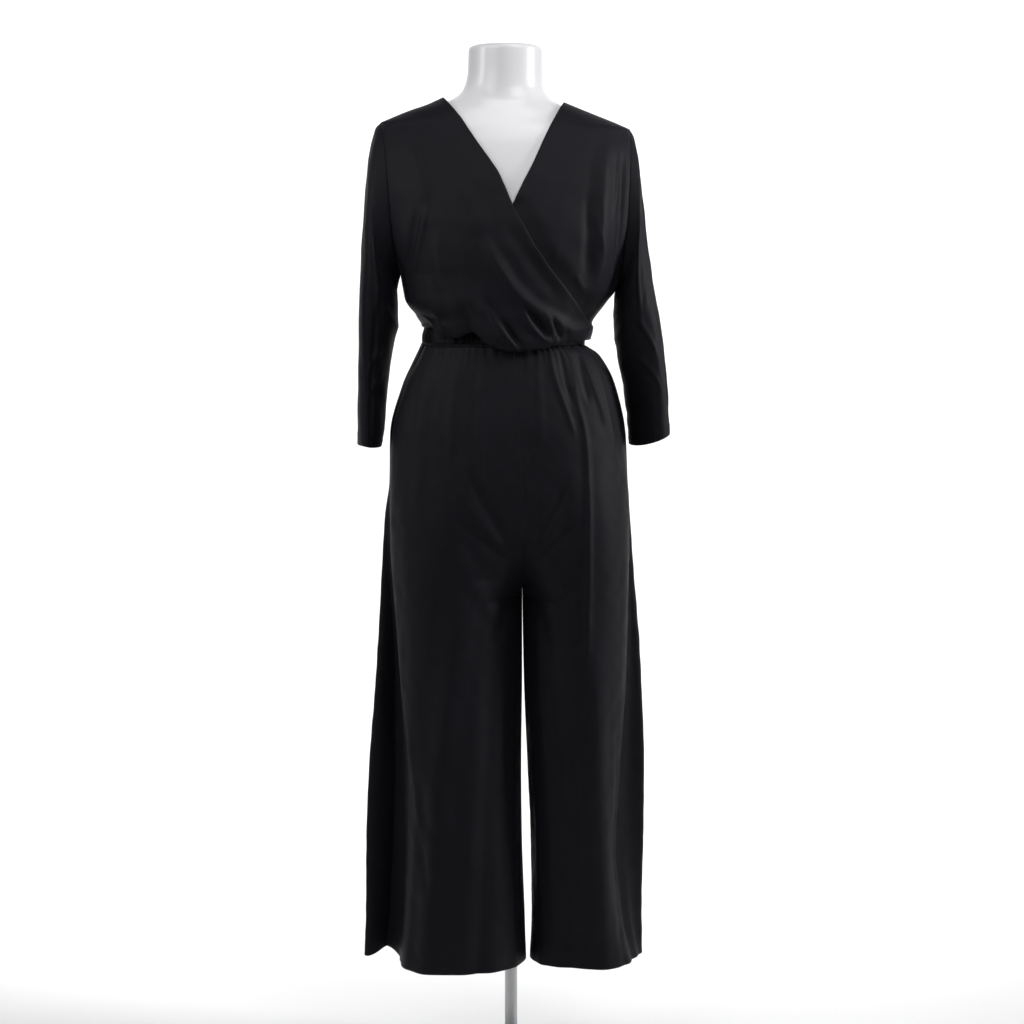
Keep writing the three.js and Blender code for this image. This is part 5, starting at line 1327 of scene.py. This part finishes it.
def jersey_material():
    """Black viscose jersey: fine wales that follow the cloth, faint cloudy shading and a soft sheen."""
    if "black_jersey" in bpy.data.materials:
        return bpy.data.materials["black_jersey"]
    look = bpy.context.scene.jumpsuit_finish
    material, tree, shader = new_material("black_jersey")
    uv = add_node(tree, "UVMap", "UV", {}, uv_map="cloth")
    wale_sizes = {"Vector": uv, "Scale": 26, "Distortion": 0.7, "Detail": 2, "Detail Scale": 3}
    wales = add_node(tree, "TexWave", "Fac", wale_sizes, wave_type="BANDS", bands_direction="X")
    course_sizes = {"Vector": uv, "Scale": 34, "Distortion": 0.5}
    courses = add_node(tree, "TexWave", "Fac", course_sizes, wave_type="BANDS", bands_direction="Y")
    stretched = add_node(tree, "Mapping", "Vector", {"Vector": uv, "Scale": (9, 0.8, 1)})
    streaks = noise(tree, stretched, 3, 4)
    clouds = noise(tree, add_node(tree, "TexCoord", "Object", {}), 9, 3)
    shade = add_node(tree, "Math", "Value", {0: streaks, 1: 0.7, 2: clouds}, operation="MULTIPLY_ADD")
    tone = add_node(tree, "MapRange", "Result", {"Value": shade, "From Min": 0.5, "From Max": 1.2})
    knit = add_node(tree, "Math", "Value", {0: wales, 1: 0.6, 2: courses}, operation="MULTIPLY_ADD")
    connect(tree, shader, {
        "Base Color": blended(tree, tone, look.jersey, look.jersey_light),
        "Roughness": ranged(tree, streaks, 0.52, 0.68),
        "Normal": bumped(tree, knit, 0.18, 0.0004),
        "Specular IOR Level": 0.13,
        "Sheen Weight": look.sheen,
        "Sheen Roughness": 0.38,
        "Sheen Tint": (*look.sheen_tint, 1),
    })
    return material


def thread_material():
    """Thread of the cloth's own black."""
    if "black_thread" in bpy.data.materials:
        return bpy.data.materials["black_thread"]
    look = bpy.context.scene.jumpsuit_finish
    material, tree, shader = new_material("black_thread")
    twist = noise(tree, add_node(tree, "TexCoord", "Object", {}), 1800)
    connect(tree, shader, {
        "Base Color": blended(tree, twist, [c * 0.6 for c in look.jersey], look.jersey_light),
        "Roughness": 0.6,
        "Specular IOR Level": 0.16,
    })
    return material


def plastic_material():
    """Moulded glass-fibre with a satin gloss coat and a slightly uneven surface."""
    look = bpy.context.scene.jumpsuit_finish
    material, tree, shader = new_material("glossy_form")
    place = add_node(tree, "TexCoord", "Object", {})
    patches = noise(tree, place, 14, 4)
    connect(tree, shader, {
        "Base Color": blended(tree, patches, *shades(look.form, 0.97, 1.03)),
        "Roughness": ranged(tree, patches, look.form_gloss - 0.05, look.form_gloss + 0.07),
        "Normal": bumped(tree, noise(tree, place, 260), 0.06, 0.0004),
        "Coat Weight": 0.18,
        "Coat Roughness": 0.12,
    })
    return material


def steel_material():
    """Satin steel with fine turning marks and faint smudges."""
    if "satin_steel" in bpy.data.materials:
        return bpy.data.materials["satin_steel"]
    look = bpy.context.scene.jumpsuit_finish
    material, tree, shader = new_material("satin_steel")
    place = add_node(tree, "TexCoord", "Object", {})
    along = add_node(tree, "Mapping", "Vector", {"Vector": place, "Scale": (90, 90, 900)})
    marks = noise(tree, along, 2, 3)
    connect(tree, shader, {
        "Base Color": blended(tree, marks, *shades(look.steel, 0.86, 1.12)),
        "Roughness": ranged(tree, marks, 0.24, 0.40),
        "Normal": bumped(tree, marks, 0.12, 0.0001),
        "Metallic": 1,
    })
    return material


# Operators


def away_from_axis(x, y):
    """A function that gives, for each face centre in metres, the direction away from an upright axis."""
    def outwards(centres):
        direction = centres - np.array([x * MM, y * MM, 0])
        direction[:, 2] = 0
        return direction
    return outwards


class JUMPSUIT_OT_trousers(bpy.types.Operator):
    """Four trouser panels with pleats, long folds and turned-up hems."""

    bl_idname = "jumpsuit.trousers"
    bl_label = "Trousers"
    bl_options = {"REGISTER", "UNDO"}

    def execute(self, context):
        for side, side_name in SIDE_NAMES.items():
            for facing, facing_name in FACING_NAMES.items():
                name = f"trouser_{facing_name}_{side_name}"
                panel = grid_mesh(f"{name}_cloth", trouser_panel(side, facing))
                sew(panel, away_from_axis(leg_value(side, "middle", KNEE_Z), INSEAM_Y))
                finish_piece(panel, jersey_material(), (name,))
        return {"FINISHED"}


class JUMPSUIT_OT_bodice(bpy.types.Operator):
    """The lapping fronts and the back, with their rolled blouson edge, neckline and gathers."""

    bl_idname = "jumpsuit.bodice"
    bl_label = "Bodice"
    bl_options = {"REGISTER", "UNDO"}

    def execute(self, context):
        cloth = context.scene.jumpsuit_cloth
        turning = cloth.turning / MM
        # how each piece is made, with the width, length and area of its flat cut
        pieces = (
            ("bodice_front_right", overlap_piece, 0.36, 0.44, 0.115),
            ("bodice_front_left", underlap_piece, 0.34, 0.44, 0.105),
            ("bodice_back", back_piece, 0.44, 0.42, 0.150),
        )
        for name, build, width, length, area in pieces:
            points, normals = build()
            if build is not back_piece:
                points, normals = turned_neck(points, normals, cloth.neck / MM)
            points, normals = turned_edge(points, normals, True, turning)
            if build is back_piece:
                points, normals = turned_edge(points, normals, False, turning)
            top = points[-1] - normals[-1] * turning
            points[-1] -= normals[-1] * SEAM_DIP
            piece = grid_mesh(f"{name}_cloth", np.concatenate([points, top[None]]))
            sew(piece, away_from_axis(0, MID_Y))
            finish_piece(piece, jersey_material(), (name,))
        return {"FINISHED"}


class JUMPSUIT_OT_sleeves(bpy.types.Operator):
    """The two sleeves, with their folds and turned-up cuffs."""

    bl_idname = "jumpsuit.sleeves"
    bl_label = "Sleeves"
    bl_options = {"REGISTER", "UNDO"}

    def execute(self, context):
        for side, name, width in ((-1, "sleeve_right", 0.34), (1, "sleeve_left", 0.33)):
            points = sleeve_piece(side)
            piece = grid_mesh(f"{name}_cloth", points, closed=True)
            middle = (SLEEVE_OUTER[side][7][0] + SLEEVE_INNER[side][3][0]) / 2
            sew(piece, away_from_axis(middle, MID_Y))
            finish_piece(piece, jersey_material(), (name,))
        return {"FINISHED"}


def casing_row(angle, inset, z):
    """A row of the waist casing at a height."""
    x, y = casing_points(np.cos(angle), np.sin(angle), inset)
    return np.stack([x, y, np.full_like(x, z)], axis=-1)


def casing_grid(angle):
    """Points of the casing: up the gathered outside, over the top and down the plain inside."""
    # The casing is drawn in under the front of the blouson, where it shows as a dark pocket
    pocket = smooth(-np.cos(angle), 0.05, 0.4) * smooth(-np.sin(angle), -0.25, 0.35)
    chance = np.random.default_rng(31)
    shift = chance.uniform(-0.25, 0.25, CASING_GATHERS)
    height = chance.uniform(0.5, 1.5, CASING_GATHERS)
    place = angle / (2 * math.pi) * CASING_GATHERS - 0.5
    nearest = np.rint(place).astype(int) % CASING_GATHERS
    ripple = height[nearest] * crest(place - np.rint(place) - shift[nearest], 0.55, 0.2)
    rows = []
    for t in np.linspace(0, 1, CASING_ROWS):
        arch = math.sin(math.pi * t)
        from_stitches = min(abs(t - line) for line in CASING_STITCH_LINES)
        dip = 0.5 * max(0, 1 - from_stitches / 0.06)
        taken_in = 2.6 * t * t + 9 * pocket * smooth(t, 0, 0.2)
        gathered = ripple * (0.55 + 0.45 * arch) * (0.8 + 2.0 * pocket)
        lift = 0.7 * arch - dip + gathered - 0.9 - taken_in
        rows.append(casing_row(angle, -lift, mix(CASING_BOTTOM_Z, CASING_TOP_Z, t)))
    rows.append(casing_row(angle, 9, CASING_TOP_Z + 8))
    rows.append(casing_row(angle, 10.5 + 3 * pocket, CASING_TOP_Z + 8))
    for z in np.linspace(CASING_TOP_Z, CASING_BOTTOM_Z, 4):
        rows.append(casing_row(angle, 11 + 3 * pocket, z))
    rows.append(rows[0].copy())
    points = np.array(rows)
    points[:, -1] = points[:, 0]
    return points


class JUMPSUIT_OT_waist(bpy.types.Operator):
    """The gathered waist casing over its elastic."""

    bl_idname = "jumpsuit.waist"
    bl_label = "Waist Casing"
    bl_options = {"REGISTER", "UNDO"}

    def execute(self, context):
        angle = np.arange(CASING_COLUMNS + 1) / CASING_COLUMNS * 2 * math.pi
        ring = grid_mesh("waist_casing_cloth", casing_grid(angle), closed=True)
        with edited(ring.data) as shape:
            bmesh.ops.recalc_face_normals(shape, faces=shape.faces)
        finish_piece(ring, jersey_material(), ("waist_casing",))
        return {"FINISHED"}


def form_points(columns):
    """Grid of the dress form, rows through its sections and closer at the neck."""
    heights = np.unique(np.concatenate([
        np.linspace(FORM_SECTIONS[0]["z"], FORM_SECTIONS[-1]["z"], 150),
        [row["z"] for row in FORM_SECTIONS[:2]], [row["z"] for row in FORM_SECTIONS[-3:]],
    ]))
    angle = np.linspace(0, 2 * math.pi, columns + 1)
    rows = []
    for z in heights:
        names = ("right", "left", "front", "back", "power")
        right, left, front, back, exponent = (float(column(FORM_SECTIONS, "z", name, z)) for name in names)
        cosine, sine = np.cos(angle), np.sin(angle)
        depth = np.where(sine < 0, MID_Y - front, back - MID_Y)
        x = (left + right) / 2 + (left - right) / 2 * power(cosine, 2 / exponent)
        y = MID_Y + depth * power(sine, 2 / exponent)
        rows.append(np.stack([x, y, np.full_like(x, z)], axis=-1))
    points = np.array(rows)
    points[:, -1] = points[:, 0]
    return points


def capped(obj):
    """Closes the open ends of a tube and faces it outwards."""
    with edited(obj.data) as shape:
        open_edges = [edge for edge in shape.edges if edge.is_boundary]
        bmesh.ops.holes_fill(shape, edges=open_edges, sides=0)
        bmesh.ops.recalc_face_normals(shape, faces=shape.faces)


class JUMPSUIT_OT_form(bpy.types.Operator):
    """The smooth limbless dress form."""

    bl_idname = "jumpsuit.form"
    bl_label = "Dress Form"
    bl_options = {"REGISTER", "UNDO"}

    def execute(self, context):
        body = grid_mesh("form_body", form_points(128), closed=True)
        capped(body)
        finish_piece(body, plastic_material(), ("form_torso",))
        for polygon in body.data.polygons:
            if len(polygon.vertices) > 4:
                polygon.use_smooth = False
        return {"FINISHED"}


def turned_part(name, profile, steps=96):
    """A solid of revolution about the pole's axis from radii and heights in millimetres."""
    shape = bmesh.new()
    verts = [shape.verts.new((radius * MM, 0, z * MM)) for radius, z in profile]
    edges = [shape.edges.new(pair) for pair in zip(verts, verts[1:])]
    bmesh.ops.spin(shape, geom=verts + edges, cent=(0, 0, 0), axis=(0, 0, 1), angle=2 * math.pi,
                   steps=steps, use_merge=True)
    bmesh.ops.remove_doubles(shape, verts=shape.verts, dist=1e-6)
    bmesh.ops.recalc_face_normals(shape, faces=shape.faces)
    return bpy.data.objects.new(name, mesh_of(name, shape))


def rounded(radius, z, size, upper, steps=5):
    """Points of a quarter round at an outer corner, the lower or the upper one, from below upwards."""
    points = []
    for i in range(steps + 1):
        turn = i / steps * math.pi / 2
        rising, falling = size * math.sin(turn), size * math.cos(turn)
        if upper:
            points.append((radius - size + falling, z - size + rising))
        else:
            points.append((radius - size + rising, z + size - falling))
    return points


class JUMPSUIT_OT_stand(bpy.types.Operator):
    """The steel collar, pole and floor plate."""

    bl_idname = "jumpsuit.stand"
    bl_label = "Stand"
    bl_options = {"REGISTER", "UNDO"}

    def execute(self, context):
        low, high = node_box("form_collar")
        flange, neck = high[0], high[0] - 7
        collar = turned_part("stand_collar_turned", [
            (0, low[2]), *rounded(neck, low[2], 1.2, False), (neck, high[2] - 9), (neck + 1, high[2] - 7.5),
            *rounded(flange, high[2] - 5, 1.0, False), *rounded(flange, high[2], 0.8, True), (0, high[2])])
        low, high = node_box("stand_pole")
        radius = high[0]
        pole = turned_part("stand_pole_turned", [
            (0, low[2]), *rounded(radius, low[2], 0.6, False), *rounded(radius, high[2], 0.6, True),
            (0, high[2])], 64)
        low, high = node_box("stand_base")
        plate = PLATE_HEIGHT
        base = turned_part("stand_base_turned", [
            (0, 0), *rounded(high[0], 0, 1, False, 3), *rounded(high[0], plate, 2.5, True),
            (BOSS_RADIUS + 3, plate), (BOSS_RADIUS + 1, plate + 0.9), (BOSS_RADIUS, plate + 3),
            *rounded(BOSS_RADIUS, high[2], 2, True), (0, high[2])], 128)
        for part, node in ((collar, "form_collar"), (pole, "stand_pole"), (base, "stand_base")):
            finish_piece(part, steel_material(), (node,))
            edges = part.modifiers.new("edges", "EDGE_SPLIT")
            edges.split_angle = math.radians(50)
        return {"FINISHED"}


# Stitches


def along_path(at, lengths, values):
    """Values of a path's points at places along it."""
    return np.stack([np.interp(at, lengths, values[:, k]) for k in range(3)], axis=-1)


def stitch_row(name, path, normals):
    """One object of stitches along a path in millimetres. Each lies on the cloth by its normal."""
    settings = bpy.context.scene.jumpsuit_stitches
    pitch, length, thread = settings.pitch / MM, settings.length / MM, settings.thread / MM
    path = np.asarray(path)
    lengths = np.concatenate([[0], np.cumsum(np.linalg.norm(np.diff(path, axis=0), axis=1))])
    at = np.arange(pitch / 2, lengths[-1], pitch)
    places = along_path(at, lengths, path)
    ahead = along_path(at + 0.5, lengths, path)
    up = along_path(at, lengths, normals)
    size = Matrix.Diagonal((length / 2 * MM, thread / 2 * MM, thread / 2 * MM, 1))
    shape = bmesh.new()
    for place, toward, normal in zip(places, ahead, up):
        along = Vector(toward - place).normalized()
        out = Vector(normal).normalized()
        across = out.cross(along).normalized()
        out = along.cross(across)
        turn = Matrix((along, across, out)).transposed().to_4x4()
        shift = Matrix.Translation((Vector(place) + out * STITCH_LIFT) * MM)
        bmesh.ops.create_icosphere(shape, subdivisions=1, radius=1, matrix=shift @ turn @ size)
    obj = bpy.data.objects.new(name, mesh_of(name, shape))
    return finish_piece(obj, thread_material())


def outer_normals(points, outwards):
    normals = normals_of(points)
    middle = normals[len(points) // 2, points.shape[1] // 2]
    if middle @ outwards < 0:
        return -normals
    return normals


class JUMPSUIT_OT_stitches(bpy.types.Operator):
    """Stitches along the leg hems, the cuffs and the neckline."""

    bl_idname = "jumpsuit.stitches"
    bl_label = "Stitches"
    bl_options = {"REGISTER", "UNDO"}

    def execute(self, context):
        cloth = context.scene.jumpsuit_cloth
        hem_z = HEM_Z + cloth.hem / MM - HEM_STITCH_INSET
        cuff_share = 1 - (cloth.cuff / MM - HEM_STITCH_INSET) / SLEEVE_LENGTH
        for side, side_name in SIDE_NAMES.items():
            for facing, facing_name in FACING_NAMES.items():
                panel = trouser_panel(side, facing)[:, 3:-3]
                normals = outer_normals(panel, np.array([0, facing, 0]))
                heights = panel[: LEG_ROWS + 10, LEG_COLUMNS // 2, 2]
                row = int(np.argmin(np.abs(heights - hem_z)))
                stitch_row(f"hem_stitches_{facing_name}_{side_name}", panel[row], normals[row])
            sleeve = sleeve_piece(side)
            normals = tube_normals(sleeve, slice(10, 60))
            row = int(round(1 + SLEEVE_ROWS * cuff_share))
            stitch_row(f"cuff_stitches_{side_name}", sleeve[row], normals[row])
        # The underlap's row starts above the place where the overlap hides it
        for name, build, first in (("overlap", overlap_piece, 2), ("underlap", underlap_piece, 40)):
            points, normals = build()
            rows = slice(ROLL_STEPS + first, None)
            stitch_row(f"neck_stitches_{name}", points[rows, -3], normals[rows, -3])
        return {"FINISHED"}


# Stage


def soft_lamp(name, place, target, size, watts, spread):
    """An area lamp that faces a target, with its beam's spread in degrees."""
    light = bpy.data.lights.new(name, "AREA")
    light.shape = "RECTANGLE"
    light.size, light.size_y = size
    light.energy = watts * bpy.context.scene.jumpsuit_stage.light
    light.spread = math.radians(spread)
    lamp = bpy.data.objects.new(name, light)
    lamp.location = place
    lamp.rotation_euler = (Vector(target) - Vector(place)).to_track_quat("-Z", "Y").to_euler()
    bpy.context.scene.collection.objects.link(lamp)


class JUMPSUIT_OT_stage(bpy.types.Operator):
    """A pale floor that rises into a backdrop, soft studio lamps and the camera."""

    bl_idname = "jumpsuit.stage"
    bl_label = "Stage"
    bl_options = {"REGISTER", "UNDO"}

    def execute(self, context):
        stage = context.scene.jumpsuit_stage
        half, near, far, bend, top = 9.0, -9.0, 4.2, 1.6, 8.0
        profile = [(near, 0), (far - bend, 0)]
        profile += [(far - bend + bend * math.sin(t), bend - bend * math.cos(t))
                    for t in np.linspace(0.05, math.pi / 2, 24)]
        profile.append((far, top))
        shape = bmesh.new()
        verts = [shape.verts.new((-half, y, z)) for y, z in profile]
        edges = [shape.edges.new(pair) for pair in zip(verts, verts[1:])]
        swept = bmesh.ops.extrude_edge_only(shape, edges=edges)
        moved = [item for item in swept["geom"] if isinstance(item, bmesh.types.BMVert)]
        bmesh.ops.translate(shape, verts=moved, vec=(2 * half, 0, 0))
        mesh = mesh_of("backdrop", shape)
        backdrop = bpy.data.objects.new("backdrop", mesh)
        context.scene.collection.objects.link(backdrop)
        mesh.polygons.foreach_set("use_smooth", np.ones(len(mesh.polygons), bool))
        material, tree, shader = new_material("backdrop_paper")
        connect(tree, shader, {"Base Color": (*stage.backdrop, 1), "Roughness": 0.9})
        mesh.materials.append(material)

        world = bpy.data.worlds.new("studio")
        world.use_nodes = True
        sky = world.node_tree.nodes["Background"]
        connect(world.node_tree, sky, {"Color": (1, 1, 1, 1), "Strength": 0.10})
        context.scene.world = world
        for lamp in LAMPS:
            soft_lamp(**lamp)

        camera = bpy.data.cameras.new("photo_camera")
        camera.lens = stage.lens
        camera.sensor_width = 36
        viewpoint = bpy.data.objects.new("photo_camera", camera)
        viewpoint.location = (0.0015, -stage.distance, stage.height)
        viewpoint.rotation_euler = (math.pi / 2 - stage.pitch, 0, 0)
        context.scene.collection.objects.link(viewpoint)
        context.scene.camera = viewpoint
        context.scene.view_settings.view_transform = "Standard"
        return {"FINISHED"}


class JUMPSUIT_PT_panel(bpy.types.Panel):
    """Lists the sizes, the colours and the pieces."""

    bl_idname = "JUMPSUIT_PT_panel"
    bl_label = "Jumpsuit"
    bl_space_type = "VIEW_3D"
    bl_region_type = "UI"
    bl_category = "Jumpsuit"

    def draw(self, context):
        layout = self.layout
        for group in SETTINGS:
            box = layout.box()
            settings = getattr(context.scene, group)
            for name in settings.__annotations__:
                box.prop(settings, name)
        for operator in PIECES:
            layout.operator(operator.bl_idname)


SETTINGS = {
    "jumpsuit_cloth": ClothSettings,
    "jumpsuit_stitches": StitchSettings,
    "jumpsuit_finish": FinishSettings,
    "jumpsuit_stage": StageSettings,
}
PIECES = (
    JUMPSUIT_OT_stage,
    JUMPSUIT_OT_form,
    JUMPSUIT_OT_stand,
    JUMPSUIT_OT_waist,
    JUMPSUIT_OT_trousers,
    JUMPSUIT_OT_bodice,
    JUMPSUIT_OT_sleeves,
    JUMPSUIT_OT_stitches,
)
CLASSES = (*SETTINGS.values(), *PIECES, JUMPSUIT_PT_panel)


def register():
    for cls in CLASSES:
        bpy.utils.register_class(cls)
    for name, cls in SETTINGS.items():
        setattr(bpy.types.Scene, name, PointerProperty(type=cls))


def unregister():
    for name in SETTINGS:
        delattr(bpy.types.Scene, name)
    for cls in reversed(CLASSES):
        bpy.utils.unregister_class(cls)


def main():
    register()
    bpy.ops.jumpsuit.stage()
    bpy.ops.jumpsuit.form()
    bpy.ops.jumpsuit.stand()
    bpy.ops.jumpsuit.waist()
    bpy.ops.jumpsuit.trousers()
    bpy.ops.jumpsuit.bodice()
    bpy.ops.jumpsuit.sleeves()
    bpy.ops.jumpsuit.stitches()


if __name__ == "__main__":
    main()
